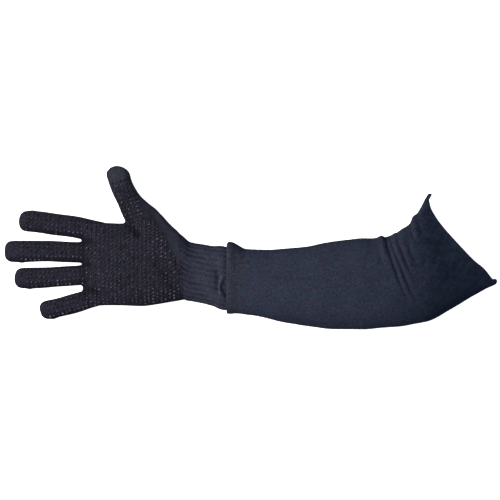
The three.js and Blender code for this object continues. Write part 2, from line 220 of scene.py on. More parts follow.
def settle(piece):
    """Makes what a piece's modifiers show its plain mesh."""
    shown = piece.evaluated_get(bpy.context.evaluated_depsgraph_get())
    mesh = bpy.data.meshes.new_from_object(shown)
    piece.modifiers.clear()
    piece.data = mesh


glove = new_piece("glove", corners, faces)
one_skin = glove.modifiers.new("one skin", "REMESH")
one_skin.mode = "VOXEL"
one_skin.voxel_size = GLOVE_GRAIN * MM
soften = glove.modifiers.new("soften", "SMOOTH")
soften.iterations = GLOVE_SMOOTHING
settle(glove)


def read_points(mesh, name):
    """One of a mesh's vectors for each of its points."""
    flat = np.empty(len(mesh.vertices) * 3)
    mesh.vertices.foreach_get(name, flat)
    return flat.reshape(-1, 3)


def near_line(points, line):
    """How far points lie from a line in plan, and how far along it, from 0 to 1, the nearest place is."""
    line = np.asarray(line, float)
    start = line[:-1]
    step = np.diff(line, axis=0)
    offset = points[:, None, :2] - start
    share = np.clip((offset * step).sum(-1) / (step**2).sum(-1), 0, 1)
    gap = np.linalg.norm(offset - share[..., None] * step, axis=-1)
    nearest = gap.argmin(axis=1)
    every = np.arange(len(points))
    return gap[every, nearest], (nearest + share[every, nearest]) / len(step)


def smooth_step(value, low, high):
    """0 below low, 1 above high and a smooth rise between."""
    t = np.clip((value - low) / (high - low), 0, 1)
    return t * t * (3 - 2 * t)


# Creases and swellings of the palm: the line in plan, how far the cloth goes down, how wide, and how much
# shade is painted in it
PALM_CREASES = [
    {"line": [(-180, 11), (-177.5, -18), (-177, -36), (-174, -54)], "down": 1.3, "width": 4.6, "dark": 0.4},
    {"line": [(-186, 8.3), (-173, 6.0)], "down": 2.4, "width": 4.2, "dark": 0.95},
    {"line": [(-186, -18.2), (-174, -19)], "down": 2.4, "width": 4.0, "dark": 0.9},
    {"line": [(-183, -45.5), (-172, -46.8), (-165, -50)], "down": 2.6, "width": 4.6, "dark": 0.95},
    {"line": [(-130, 24), (-125, 19), (-121, 13)], "down": 3.0, "width": 3.4, "dark": 1.0},
    {"line": [(-98, -17), (-86, -36), (-76, -56)], "down": 2.2, "width": 7.0, "dark": 0.3},
    {"line": [(-138, 46), (-132, 28)], "down": 0.6, "width": 7.0, "dark": 0.7},
    {"line": [(-150, -12), (-122, -20)], "down": 1.2, "width": 16.0, "dark": 0.0},
    {"line": [(-112, 22), (-98, 8)], "down": -1.8, "width": 13.0, "dark": 0.0},
    {"line": [(-120, -48), (-100, -46)], "down": -1.2, "width": 13.0, "dark": 0.0},
]
UPWARD = (0.0, 0.55)
# Places where a fingertip's closing thread makes a small bump on the outline
TIP_BUMPS = [(-234.7, 41.0), (-246.5, -16.4), (-238.0, -45.2), (-211.5, -77.0)]
TIP_BUMP = 0.9
TIP_BUMP_WIDTH = 3.4
# The cuff's elastic pulls the hand in a little just before it
WRIST_PULL = 0.35
WRIST_PULL_LENGTH = 3.0

points = read_points(glove.data, "co") / MM
normals = read_points(glove.data, "normal")
upward = smooth_step(normals[:, 2], *UPWARD)
sink = np.zeros(len(points))
deep = np.zeros(len(points))
for crease in PALM_CREASES:
    gap, _ = near_line(points, crease["line"])
    near = np.exp(-((gap / crease["width"]) ** 2))
    sink += crease["down"] * near
    # Shade painted into the creases
    deep = np.maximum(deep, crease["dark"] * near)
points[:, 2] -= sink * upward
for x, y in TIP_BUMPS:
    gap = np.hypot(points[:, 0] - x, points[:, 1] - y)
    points += normals * (TIP_BUMP * np.exp(-((gap / TIP_BUMP_WIDTH) ** 2)))[:, None]
from_wrist = points[:, 0] + WRIST_LEAN * points[:, 1] - WRIST_X
pull = smooth_step(from_wrist, -WRIST_PULL_LENGTH, 0)
points -= normals * (WRIST_PULL * pull)[:, None]

SLACK_WAVES = 8
SLACK_SPREAD = (0.7, 1.5)
GLOVE_SLACK = {"size": 26, "height": 0.35, "seed": 3}


def slack(points, size, height, seed):
    """Gentle unevenness of cloth: a few waves in fixed directions, about size across."""
    chance = np.random.default_rng(seed)
    total = np.zeros(len(points))
    for _ in range(SLACK_WAVES):
        way = chance.normal(size=3)
        way /= np.linalg.norm(way)
        wave = size * chance.uniform(*SLACK_SPREAD)
        total += np.sin(points @ way * 2 * math.pi / wave + chance.uniform(0, 2 * math.pi))
    return height * total / math.sqrt(SLACK_WAVES)


points += normals * slack(points, **GLOVE_SLACK)[:, None]
points[:, 2] = np.maximum(points[:, 2], 0)
glove.data.vertices.foreach_set("co", (points * MM).ravel())

# The knit has shade painted into it in creases and on the fingers' lower sides, between them. It is paler
# where
# it has no dots: past the edge of the dotted palm, with light painted on most of all where that faces
# outwards, and on the end of the thumb
FIELD_EDGE = (-78.0, -16.0)
EDGE_LEAN_THUMB = 0.5485
EDGE_LEAN_HEEL = 0.149
FIELD_PALE = 0.58
FIELD_PALE_REACH = (-2, 9)
OUTER_SIDE_PAINTED_LIGHT = 0.5
OUTER_SIDE_REACH = (-12, -4)
OUTER_SIDE_FACING = (0.5, 1.2)
THUMB_TIP = (-142.5, 82.0)
TIP_PALE = 0.52
TIP_PALE_REACH = (5, 21)
BETWEEN_PAINTED_SHADE = 0.65
BETWEEN_FACING = (0.1, 0.8)
FINGER_ROOTS = (-195, -172)


def past_field(points):
    """How far points lie past the edge of the dotted palm, towards the wrist."""
    up_edge = points[:, 1] - FIELD_EDGE[1]
    return points[:, 0] - FIELD_EDGE[0] + np.maximum(up_edge * EDGE_LEAN_THUMB, up_edge * EDGE_LEAN_HEEL)


def paint(piece, **painted):
    """Stores values on a piece's points, under names that its material or its tree reads."""
    for name, values in painted.items():
        piece.data.attributes.new(name, "FLOAT", "POINT").data.foreach_set("value", values)


on_fingers = 1 - smooth_step(points[:, 0], *FINGER_ROOTS)
# Shade painted on the fingers' lower sides
shaded_finger_sides = smooth_step(-normals[:, 1], *BETWEEN_FACING) * on_fingers
past = past_field(points)
# Light painted on the plain cloth where it faces outwards, away from the lamp
painted_light = smooth_step(normals[:, 0] + normals[:, 1], *OUTER_SIDE_FACING) * smooth_step(past, *OUTER_SIDE_REACH)
pale = FIELD_PALE * smooth_step(past, *FIELD_PALE_REACH) + OUTER_SIDE_PAINTED_LIGHT * painted_light
from_tip = np.hypot(points[:, 0] - THUMB_TIP[0], points[:, 1] - THUMB_TIP[1])
pale = np.maximum(pale, TIP_PALE * (1 - smooth_step(from_tip, *TIP_PALE_REACH)))
paint(glove, deep=np.maximum(deep * upward, BETWEEN_PAINTED_SHADE * shaded_finger_sides), pale=pale)

opened = bmesh.new()
opened.from_mesh(glove.data)
everything = opened.verts[:] + opened.edges[:] + opened.faces[:]
bmesh.ops.bisect_plane(
    opened, geom=everything, plane_co=(WRIST_X * MM, 0, 0), plane_no=(1, WRIST_LEAN, 0), clear_outer=True
)
opened.to_mesh(glove.data)
opened.free()
glove.data.shade_smooth()

# The knit runs along each limb, counted in stitches: columns round it, from underneath, and rows along it
GLOVE_COLUMN = 2.2
GLOVE_ROW = 1.7
FROM_UNDERNEATH = 0.25
FINGERS_END_X = -180
FINGER_PARTINGS = [7.9, -18.2, -45.9]
THUMB_FROM = (-125.6, 25.1)
THUMB_WAY = (-0.304, 0.953)


def knit_round_limb(points, sections):
    """Stitch columns and rows of points on a limb, and how many columns go round it."""
    centre = (sections[:, 0:2] + sections[:, 2:4]) / 2
    width = np.linalg.norm(sections[:, 0:2] - sections[:, 2:4], axis=1)
    across = (sections[:, 0:2] - sections[:, 2:4]) / width[:, None]
    way = centre[-1] - centre[0]
    every = np.arange(len(sections))
    place = np.interp(points[:, :2] @ way, centre @ way, every)
    columns_at = np.column_stack([centre, across, width / 2, sections[:, 4], length_along(centre)])
    read = np.stack([np.interp(place, every, column) for column in columns_at.T], axis=1)
    at, side, (half, height, along) = read[:, 0:2], read[:, 2:4], read[:, 4:].T
    over = points[:, 2] - WIDEST_AT * height
    rise = over / np.where(over > 0, (1 - WIDEST_AT) * height, WIDEST_AT * height)
    angle = np.arctan2(rise, ((points[:, :2] - at) * side).sum(axis=1) / half)
    turn = np.mod(angle / (2 * math.pi) + FROM_UNDERNEATH, 1)
    middle = len(sections) // 2
    outline = np.stack(soft_outline(width[middle], sections[middle, 4], CURVE_POINTS), axis=1)
    girth = np.linalg.norm(outline - np.roll(outline, 1, axis=0), axis=1).sum()
    columns = round(girth / GLOVE_COLUMN)
    return turn * columns, along / GLOVE_ROW, columns


def read_faces(mesh, name, kind, width=1):
    """One of a mesh's values for each of its faces."""
    flat = np.empty(len(mesh.polygons) * width, kind)
    mesh.polygons.foreach_get(name, flat)
    return flat.reshape(-1, width) if width > 1 else flat


points = read_points(glove.data, "co") / MM
face_centres = read_faces(glove.data, "center", float, 3) / MM
face_starts = read_faces(glove.data, "loop_start", np.int32)
face_sizes = read_faces(glove.data, "loop_total", np.int32)
loop_points = np.empty(len(glove.data.loops), np.int32)
glove.data.loops.foreach_get("vertex_index", loop_points)
thumb_number = list(limbs).index("thumb")
hand_number = list(limbs).index("hand")
finger_of = np.searchsorted([-value for value in FINGER_PARTINGS], -face_centres[:, 1])
on_thumb = (face_centres[:, :2] - THUMB_FROM) @ np.array(THUMB_WAY) > 0
behind_fingers = np.where(on_thumb, thumb_number, hand_number)
limb_of = np.where(face_centres[:, 0] < FINGERS_END_X, finger_of, behind_fingers)
limb_of_loop = np.repeat(limb_of, face_sizes)
stitches = np.zeros((len(loop_points), 2))
for number, sections in enumerate(limbs.values()):
    column, row, columns = knit_round_limb(points, sections)
    mine = limb_of_loop == number
    loop_column = column[loop_points]
    highest = np.repeat(np.maximum.reduceat(loop_column, face_starts), face_sizes)
    loop_column = np.where(highest - loop_column > columns / 2, loop_column + columns, loop_column)
    stitches[mine, 0] = loop_column[mine]
    stitches[mine, 1] = row[loop_points][mine]
glove.data.uv_layers.new(name="knit").uv.foreach_set("vector", stitches.ravel())


def give_wall(piece, thickness):
    """Gives a skin its thickness, inwards."""
    wall = piece.modifiers.new("wall", "SOLIDIFY")
    wall.thickness = thickness * MM
    wall.offset = -1


give_wall(glove, GLOVE_WALL)


def linear(code):
    """An sRGB hex colour as the linear colour that a node takes."""
    values = [int(code[i : i + 2], 16) / 255 for i in (1, 3, 5)]
    return [v / 12.92 if v <= 0.04045 else ((v + 0.055) / 1.055) ** 2.4 for v in values] + [1.0]


MATH = "ShaderNodeMath"
VECTOR = "ShaderNodeVectorMath"
SEPARATE = "ShaderNodeSeparateXYZ"
RANGE = "ShaderNodeMapRange"
NOISE = "ShaderNodeTexNoise"
MIX = "ShaderNodeMix"
ATTRIBUTE = "ShaderNodeAttribute"
# A mix of colours, and which of the node's outputs gives it
COLOURS = {"data_type": "RGBA", "out": 2}


def add_node(tree, kind, inputs=None, out=0, **settings):
    """Adds a node with its settings; each input is a value or the socket that feeds it.

    Returns the output that out names or counts, or all of them if it is None.
    """
    node = tree.nodes.new(kind)
    for name, value in settings.items():
        setattr(node, name, value)
    for name, value in (inputs or {}).items():
        if isinstance(value, bpy.types.NodeSocket):
            tree.links.new(value, node.inputs[name])
        else:
            node.inputs[name].default_value = value
    return node.outputs if out is None else node.outputs[out]


def new_material(name):
    """A new material, its node tree and its shader."""
    material = bpy.data.materials.new(name)
    material.use_nodes = True
    return material, material.node_tree, material.node_tree.nodes["Principled BSDF"]


# Shares of a stitch and of its yarn, and sizes in millimetres where the name says so
LEG_SLANT = 1.2
LOOP_RELIEF = 0.65
HOLLOW_BELOW = 0.7
HOLLOW_PAINTED_SHADE = 0.6
FIBRE_FROM = 0.4
FIBRE_TO = 0.62
TINT_FROM = 0.47
TINT_TO = 0.7
TINT_SHARE = 0.75
TINT_TUFTS = 2.2
FUZZ_SIZE = 0.5
FUZZ_SHARE = 0.3
SMOOTHER = 0.08
ROUGHER = 0.06
CLOTH_BUMP = 0.8
CLOTH_SPECULAR = 0.12


def knit_cloth(name, yarn, relief, roughness, mottle):
    """Knitted cloth: slanted yarn legs in columns, read from the map that counts its stitches.

    yarn names its colours: the yarn, its lighter fibres, two tints of its heather, the hollow between loops,
    where shade is painted, and, where it has them, the colour that the piece's painted shade and darker tone
    darken it by and the one that its painted light and paler tone add.
    relief is the height of a loop and mottle the size of a tuft of fibres, both in millimetres.
    """
    material, tree, shader = new_material(name)
    stitch = add_node(tree, SEPARATE, {0: add_node(tree, "ShaderNodeUVMap", uv_map="knit")}, out=None)
    half = add_node(tree, MATH, {0: stitch["X"], 1: 0.5}, operation="PINGPONG")
    turn = add_node(tree, MATH, {0: half, 1: 2 * math.pi}, operation="MULTIPLY")
    leg = add_node(tree, MATH, {0: turn}, operation="SINE")
    slanted = add_node(tree, MATH, {0: half, 1: LEG_SLANT, 2: stitch["Y"]}, operation="MULTIPLY_ADD")
    swing = add_node(tree, MATH, {0: slanted, 1: 0.5}, operation="PINGPONG")
    bend = add_node(tree, MATH, {0: swing, 1: math.pi}, operation="MULTIPLY")
    loop = add_node(tree, MATH, {0: bend}, operation="SINE")
    crown = add_node(tree, MATH, {0: loop, 1: LOOP_RELIEF, 2: 1 - LOOP_RELIEF}, operation="MULTIPLY_ADD")
    height = add_node(tree, MATH, {0: leg, 1: crown}, operation="MULTIPLY")

    place = add_node(tree, "ShaderNodeTexCoord", out="Object")
    tufts = {"Vector": place, "Scale": 1 / (mottle * MM), "Detail": 3.0, "Roughness": 0.6}
    fibres = add_node(tree, NOISE, tufts)
    light = add_node(tree, RANGE, {"Value": fibres, "From Min": FIBRE_FROM, "From Max": FIBRE_TO})
    yarn_colours = {0: light, 6: linear(yarn["yarn"]), 7: linear(yarn["fibre"])}
    mixed = add_node(tree, MIX, yarn_colours, **COLOURS)
    patches = {"Vector": place, "Scale": 1 / (TINT_TUFTS * mottle * MM), "Detail": 2.0}
    heather = add_node(tree, NOISE, patches, out="Color")
    shares = add_node(tree, "ShaderNodeSeparateColor", {0: heather}, out=None)
    for tint, share in (("plum", shares["Red"]), ("teal", shares["Green"])):
        limits = {"Value": share, "From Min": TINT_FROM, "From Max": TINT_TO, "To Max": TINT_SHARE}
        tinted = {0: add_node(tree, RANGE, limits), 6: mixed, 7: linear(yarn[tint])}
        mixed = add_node(tree, MIX, tinted, **COLOURS)
    # The piece's painted shade and darker tone darken the cloth, and its painted light and paler tone lighten
    # it
    for part, way in (("deep", "MULTIPLY"), ("pale", "ADD")):
        if part in yarn:
            share = add_node(tree, ATTRIBUTE, out="Fac", attribute_name=part)
            changed = {0: share, 6: mixed, 7: linear(yarn[part])}
            mixed = add_node(tree, MIX, changed, **COLOURS, blend_type=way)
    # Shade is painted into the hollows between the loops
    sunk = {"Value": height, "From Max": HOLLOW_BELOW, "To Min": HOLLOW_PAINTED_SHADE, "To Max": 0.0}
    hollow_shade = {0: add_node(tree, RANGE, sunk), 6: mixed, 7: linear(yarn["hollow"])}
    tree.links.new(add_node(tree, MIX, hollow_shade, **COLOURS), shader.inputs["Base Color"])

    limits = {"Value": fibres, "To Min": roughness - SMOOTHER, "To Max": roughness + ROUGHER}
    tree.links.new(add_node(tree, RANGE, limits), shader.inputs["Roughness"])
    fuzz = add_node(tree, NOISE, {"Vector": place, "Scale": 1 / (FUZZ_SIZE * MM), "Detail": 2.0})
    surface = add_node(tree, MATH, {0: fuzz, 1: FUZZ_SHARE, 2: height}, operation="MULTIPLY_ADD")
    raised = {"Height": surface, "Distance": relief * MM, "Strength": CLOTH_BUMP}
    tree.links.new(add_node(tree, "ShaderNodeBump", raised), shader.inputs["Normal"])
    shader.inputs["Specular IOR Level"].default_value = CLOTH_SPECULAR
    return material


# Plain knit of cotton and aramid yarn, almost black: matt, with a slight warm heather that shows between
# the dots. The stitches are drawn a little coarser than real ones, which would be too fine to show.
glove_knit = knit_cloth(
    "cotton aramid knit",
    {
        "yarn": "#0a0a0e",
        "fibre": "#2e2e3a",
        "plum": "#2c2237",
        "teal": "#1a2733",
        "hollow": "#08080c",
        # Colour for the painted shade; the next for the paler tone and the painted light
        "deep": "#7e879f",
        "pale": "#2e3338",
    },
    relief=0.5,
    roughness=0.92,
    mottle=1.8,
)
glove.data.materials.append(glove_knit)
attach(glove, "root")
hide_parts("hand", "index_tube", "middle_tube", "ring_tube", "little_tube", "thumb_tube")

# Grip dots
# Small raised dots of soft black vinyl, printed on the palm side in close rows that slant across the palm and
# cured, so that each stands on the knit as a low oval dome. The fingertips, the thumb's outer side and the
# wrist are left plain.
DOT_SIZES = {
    "Dot half length": 1.5,
    "Dot half width": 1.18,
    "Dot height": 1.05,
    "Finger column": 4.58,
    "Finger pitch": 4.9,
    "Palm column": 4.5,
    "Palm pitch": 4.37,
}
DOT_SLANT = math.radians(35)
DOT_SEGMENTS = 10
DOT_RINGS = 6
DOT_CUT = -0.55
DOT_GROWTH = (0.85, 1.12)
DOT_SEED = 11
DOT_UNEVEN = 0.42
# The least upward share of the cloth's normal on which a dot is printed
STEEPEST = 0.58
DROP_FROM = 120
THUMB_REACH = 18
THUMB_OVERLAP = 0.8

# Patches of dots: the line through each, how round the surface under it is, how many dots go across, and how
# far each column is shifted against the one before, as a share of the pitch: for all, and more for each one
DOT_PATCHES = {
    "index": {"line": [(-241.2, 27.2), (-179.6, 19.1)], "round": 11.5, "across": 5, "shift": 0, "more": 0},
    "middle": {"line": [(-247.7, -4.4), (-179.6, -6.3)], "round": 11.3, "across": 5, "shift": 0, "more": 0},
    "ring": {"line": [(-241.2, -33.5), (-179.6, -29.8)], "round": 11, "across": 5, "shift": 0, "more": 0},
    "little": {"line": [(-218.5, -67.3), (-177.4, -55.7)], "round": 10.2, "across": 5, "shift": 0, "more": 0},
    "thumb": {"line": [(-140.6, 72), (-126.4, 26.2)], "round": 13.5, "across": 7, "shift": 0, "more": 0},
    "palm": {"line": [(-177.4, -19), (-71, -19)], "round": 56, "across": 27, "shift": -0.1, "more": -0.0065},
}

COMPARE = "FunctionNodeCompare"
BOOLEAN = "FunctionNodeBooleanMath"
RANDOM = "FunctionNodeRandomValue"
NAMED = "GeometryNodeInputNamedAttribute"
STORE = "GeometryNodeStoreNamedAttribute"
MOVE = "GeometryNodeSetPosition"
DELETE = "GeometryNodeDeleteGeometry"


def new_tree(name, inputs, output):
    """A new geometry tree with named inputs and one output of geometry, and what it is given."""
    tree = bpy.data.node_groups.new(name, "GeometryNodeTree")
    for socket, kind in inputs.items():
        tree.interface.new_socket(socket, in_out="INPUT", socket_type="NodeSocket" + kind)
    tree.interface.new_socket(output, in_out="OUTPUT", socket_type="NodeSocketGeometry")
    return tree, add_node(tree, "NodeGroupInput", out=None)


# The tree for one patch: a grid of points, bowed as the skin under it is, dropped on the skin from above
PATCH_INPUTS = {
    "Skin": "Geometry",
    "From": "Vector",
    "To": "Vector",
    "Round": "Float",
    "Across": "Int",
    "Column": "Float",
    "Pitch": "Float",
    "Shift": "Float",
    "More": "Float",
}
patch, given = new_tree("dot patch", PATCH_INPUTS, "Places")
line = add_node(patch, VECTOR, {0: given["To"], 1: given["From"]}, operation="SUBTRACT")
long = add_node(patch, VECTOR, {0: line}, out="Value", operation="LENGTH")
steps = add_node(patch, MATH, {0: long, 1: given["Column"]}, operation="DIVIDE")
columns = add_node(patch, MATH, {0: steps}, operation="FLOOR")
wide = add_node(patch, MATH, {0: given["Across"], 1: 1.0}, operation="SUBTRACT")
grid_sizes = {
    "Size X": add_node(patch, MATH, {0: columns, 1: given["Column"]}, operation="MULTIPLY"),
    "Size Y": add_node(patch, MATH, {0: wide, 1: given["Pitch"]}, operation="MULTIPLY"),
    "Vertices X": add_node(patch, MATH, {0: columns, 1: 1.0}, operation="ADD"),
    "Vertices Y": given["Across"],
}
grid = add_node(patch, "GeometryNodeMeshGrid", grid_sizes)
spot = add_node(patch, SEPARATE, {0: add_node(patch, "GeometryNodeInputPosition")}, out=None)
column = add_node(patch, MATH, {0: spot["X"], 1: given["Column"]}, operation="DIVIDE")
from_start = add_node(patch, MATH, {0: columns, 1: 0.5, 2: column}, operation="MULTIPLY_ADD")
number = add_node(patch, MATH, {0: from_start}, operation="ROUND")
each = add_node(patch, MATH, {0: number, 1: given["More"], 2: given["Shift"]}, operation="MULTIPLY_ADD")
summed = add_node(patch, MATH, {0: number, 1: each}, operation="MULTIPLY")
lead = add_node(patch, MATH, {0: summed, 1: 0.5, 2: -0.5}, operation="WRAP")
stagger = add_node(patch, MATH, {0: lead, 1: given["Pitch"], 2: spot["Y"]}, operation="MULTIPLY_ADD")
around = add_node(patch, MATH, {0: stagger, 1: given["Round"]}, operation="DIVIDE")
bow = add_node(patch, MATH, {0: around}, operation="SINE")
off = add_node(patch, MATH, {0: bow, 1: given["Round"]}, operation="MULTIPLY")
way = add_node(patch, VECTOR, {0: line}, operation="NORMALIZE")
side = add_node(patch, VECTOR, {0: (0, 0, 1), 1: way}, operation="CROSS_PRODUCT")
ends = add_node(patch, VECTOR, {0: given["From"], 1: given["To"]}, operation="ADD")
halved = {0: ends, 1: (0.5, 0.5, 0.5), 2: (0, 0, DROP_FROM * MM)}
centre = add_node(patch, VECTOR, halved, operation="MULTIPLY_ADD")
forward = add_node(patch, VECTOR, {0: way, "Scale": spot["X"]}, operation="SCALE")
sideways = add_node(patch, VECTOR, {0: side, "Scale": off}, operation="SCALE")
moved = add_node(patch, VECTOR, {0: forward, 1: sideways}, operation="ADD")
above = add_node(patch, VECTOR, {0: moved, 1: centre}, operation="ADD")
limits = {0: (-DOT_UNEVEN * MM,) * 3, 1: (DOT_UNEVEN * MM,) * 3, "Seed": DOT_SEED}
uneven = add_node(patch, RANDOM, limits, data_type="FLOAT_VECTOR")
places = add_node(patch, MOVE, {"Geometry": grid, "Position": above, "Offset": uneven})
fall = {
    "Target Geometry": given["Skin"],
    "Attribute": add_node(patch, NAMED, {"Name": "fresh"}, data_type="FLOAT"),
    "Ray Direction": (0, 0, -1),
    "Ray Length": 2 * DROP_FROM * MM,
}
drop = add_node(patch, "GeometryNodeRaycast", fall, out=None)
for name, value, kind in (
    ("facing", drop["Hit Normal"], "FLOAT_VECTOR"),
    ("met", drop["Is Hit"], "BOOLEAN"),
    ("fresh", drop["Attribute"], "FLOAT"),
):
    stored = {"Geometry": places, "Name": name, "Value": value}
    places = add_node(patch, STORE, stored, data_type=kind, domain="POINT")
landed = add_node(patch, MOVE, {"Geometry": places, "Position": drop["Hit Position"]})
add_node(patch, "NodeGroupOutput", {"Places": landed}, out=None)

# The tree for all dots: the patches together, thinned at the thumb, the wrist and steep sides
dots_inputs = {"Geometry": "Geometry", **dict.fromkeys(DOT_SIZES, "Float")}
dots_tree, given = new_tree("grip dots", dots_inputs, "Geometry")
position = add_node(dots_tree, "GeometryNodeInputPosition")
gather = add_node(dots_tree, "GeometryNodeJoinGeometry")
for name, values in DOT_PATCHES.items():
    start, end = values["line"]
    where = "Palm" if name == "palm" else "Finger"
    patch_inputs = {
        "Skin": given["Geometry"],
        "From": (start[0] * MM, start[1] * MM, 0),
        "To": (end[0] * MM, end[1] * MM, 0),
        "Round": values["round"] * MM,
        "Across": values["across"],
        "Column": given[where + " column"],
        "Pitch": given[where + " pitch"],
        "Shift": values["shift"],
        "More": values["more"],
    }
    placed = add_node(dots_tree, "GeometryNodeGroup", patch_inputs, node_tree=patch, label=name)
    if name == "palm":
        root = (THUMB_FROM[0] * MM, THUMB_FROM[1] * MM, 0)
        thumb_way = (*THUMB_WAY, 0)
        thumb_side = (THUMB_WAY[1], -THUMB_WAY[0], 0)
        reach = add_node(dots_tree, VECTOR, {0: position, 1: root}, operation="SUBTRACT")
        onto = add_node(dots_tree, VECTOR, {0: reach, 1: thumb_way}, out="Value", operation="DOT_PRODUCT")
        beyond = add_node(dots_tree, COMPARE, {0: onto, 1: THUMB_OVERLAP * MM}, operation="GREATER_THAN")
        beside = add_node(dots_tree, VECTOR, {0: reach, 1: thumb_side}, out="Value", operation="DOT_PRODUCT")
        apart = add_node(dots_tree, MATH, {0: beside}, operation="ABSOLUTE")
        near = add_node(dots_tree, COMPARE, {0: apart, 1: THUMB_REACH * MM}, operation="LESS_THAN")
        taken = add_node(dots_tree, BOOLEAN, {0: beyond, 1: near}, operation="AND")
        thinned = {"Geometry": placed, "Selection": taken}
        placed = add_node(dots_tree, DELETE, thinned, domain="POINT")
    dots_tree.links.new(placed, gather.node.inputs[0])
spot = add_node(dots_tree, SEPARATE, {0: position}, out=None)
up_edge = add_node(dots_tree, MATH, {0: spot["Y"], 1: -FIELD_EDGE[1] * MM}, operation="ADD")
to_thumb = add_node(dots_tree, MATH, {0: up_edge, 1: EDGE_LEAN_THUMB}, operation="MULTIPLY")
to_heel = add_node(dots_tree, MATH, {0: up_edge, 1: EDGE_LEAN_HEEL}, operation="MULTIPLY")
lean = add_node(dots_tree, MATH, {0: to_thumb, 1: to_heel}, operation="MAXIMUM")
edge = add_node(dots_tree, MATH, {0: FIELD_EDGE[0] * MM, 1: lean}, operation="SUBTRACT")
plain = add_node(dots_tree, COMPARE, {0: spot["X"], 1: edge}, operation="GREATER_THAN")
facing = add_node(dots_tree, NAMED, {"Name": "facing"}, data_type="FLOAT_VECTOR")
slope = add_node(dots_tree, SEPARATE, {0: facing}, out="Z")
steep = add_node(dots_tree, COMPARE, {0: slope, 1: STEEPEST}, operation="LESS_THAN")
met = add_node(dots_tree, NAMED, {"Name": "met"}, data_type="BOOLEAN")
missed = add_node(dots_tree, BOOLEAN, {0: met}, operation="NOT")
either = add_node(dots_tree, BOOLEAN, {0: plain, 1: steep}, operation="OR")
left_out = add_node(dots_tree, BOOLEAN, {0: either, 1: missed}, operation="OR")
thinned = {"Geometry": gather, "Selection": left_out}
kept = add_node(dots_tree, DELETE, thinned, domain="POINT")

# A dot gets some gloss and a painted glint on flat cloth, more on upright cloth and most in the creases and
# along the glint lines; few dots get it all
GLOSS_FLAT = 0.1
GLOSS_UPRIGHT = 0.45
GLOSS_RARITY = 4.0
SHADE_RARITY = 1.4
fresh = add_node(dots_tree, NAMED, {"Name": "fresh"}, data_type="FLOAT")
tilted = {0: slope, 1: GLOSS_FLAT - GLOSS_UPRIGHT, 2: GLOSS_UPRIGHT}
tilt = add_node(dots_tree, MATH, tilted, operation="MULTIPLY_ADD")
gloss = add_node(dots_tree, MATH, {0: fresh, 1: tilt}, operation="ADD")
luck = add_node(dots_tree, RANDOM, {"Seed": DOT_SEED + 2}, out=1, data_type="FLOAT")
rare = add_node(dots_tree, MATH, {0: luck, 1: GLOSS_RARITY}, operation="POWER")
shine = add_node(dots_tree, MATH, {0: gloss, 1: rare}, operation="MULTIPLY", use_clamp=True)
chance = add_node(dots_tree, RANDOM, {"Seed": DOT_SEED + 3}, out=1, data_type="FLOAT")
shade = add_node(dots_tree, MATH, {0: chance, 1: SHADE_RARITY}, operation="POWER")
for name, value in (("shine", shine), ("shade", shade)):
    stored = {"Geometry": kept, "Name": name, "Value": value}
    kept = add_node(dots_tree, STORE, stored, data_type="FLOAT", domain="POINT")

# One dot: a dome cut from a ball, with light painted on its top and on the long side towards the thumb
LIT_SIDE = (0, 0.73, 0.68)
ball_sizes = {"Segments": DOT_SEGMENTS, "Rings": DOT_RINGS, "Radius": 1.0}
ball = add_node(dots_tree, "GeometryNodeMeshUVSphere", ball_sizes)
under = add_node(dots_tree, COMPARE, {0: spot["Z"], 1: DOT_CUT}, operation="LESS_THAN")
cut = {"Geometry": ball, "Selection": under}
dome = add_node(dots_tree, DELETE, cut, domain="POINT")
lit_share = add_node(dots_tree, VECTOR, {0: position, 1: LIT_SIDE}, out="Value", operation="DOT_PRODUCT")
stored = {"Geometry": dome, "Name": "painted_lit_side", "Value": lit_share}
painted_lit_side = add_node(dots_tree, STORE, stored, data_type="FLOAT", domain="POINT")
dot_sizes = {0: given["Dot half length"], 1: given["Dot half width"], 2: given["Dot height"]}
dot_size = add_node(dots_tree, "ShaderNodeCombineXYZ", dot_sizes)
turned = {"Geometry": painted_lit_side, "Rotation": (0, 0, DOT_SLANT), "Scale": dot_size}
dot = add_node(dots_tree, "GeometryNodeTransform", turned)
limits = {2: DOT_GROWTH[0], 3: DOT_GROWTH[1], "Seed": DOT_SEED + 1}
print_inputs = {
    "Points": kept,
    "Instance": dot,
    "Rotation": add_node(dots_tree, "FunctionNodeAlignRotationToVector", {"Vector": facing}, axis="Z"),
    "Scale": add_node(dots_tree, RANDOM, limits, out=1, data_type="FLOAT"),
}
printed = add_node(dots_tree, "GeometryNodeInstanceOnPoints", print_inputs)
real = add_node(dots_tree, "GeometryNodeRealizeInstances", {"Geometry": printed})
smooth = add_node(dots_tree, "GeometryNodeSetShadeSmooth", {"Geometry": real})

# Printed soft vinyl: black, with grey light painted on each dot's top and side towards the thumb, more on
# some dots than on others. It is dull on most dots, and glossy in creases and on the fingers' sides, where
# single dots also get a painted glint.
VINYL_SIDE = "#0a0a0e"
VINYL_DULL = "#17161d"
VINYL_LIT_TOP = "#413f4c"
VINYL_PAINTED_GLINT = "#787886"
LIT_FROM = 0.42
LIT_TO = 0.95
DULL_ROUGHNESS = 0.5
GLOSSY_ROUGHNESS = 0.2
PORE_SIZE = 0.4
PORE_DEPTH = 0.05
PORE_BUMP = 0.4
VINYL_SPECULAR = 0.1
grip_vinyl, tree, shader = new_material("soft vinyl")
place = add_node(tree, "ShaderNodeTexCoord", out="Object")
shade, shine, top = (
    add_node(tree, ATTRIBUTE, out="Fac", attribute_name=name) for name in ("shade", "shine", "painted_lit_side")
)
limits = {"Value": top, "From Min": LIT_FROM, "From Max": LIT_TO}
crown = add_node(tree, RANGE, limits, interpolation_type="SMOOTHSTEP")
lit_top = add_node(tree, MIX, {0: shade, 6: linear(VINYL_DULL), 7: linear(VINYL_LIT_TOP)}, **COLOURS)
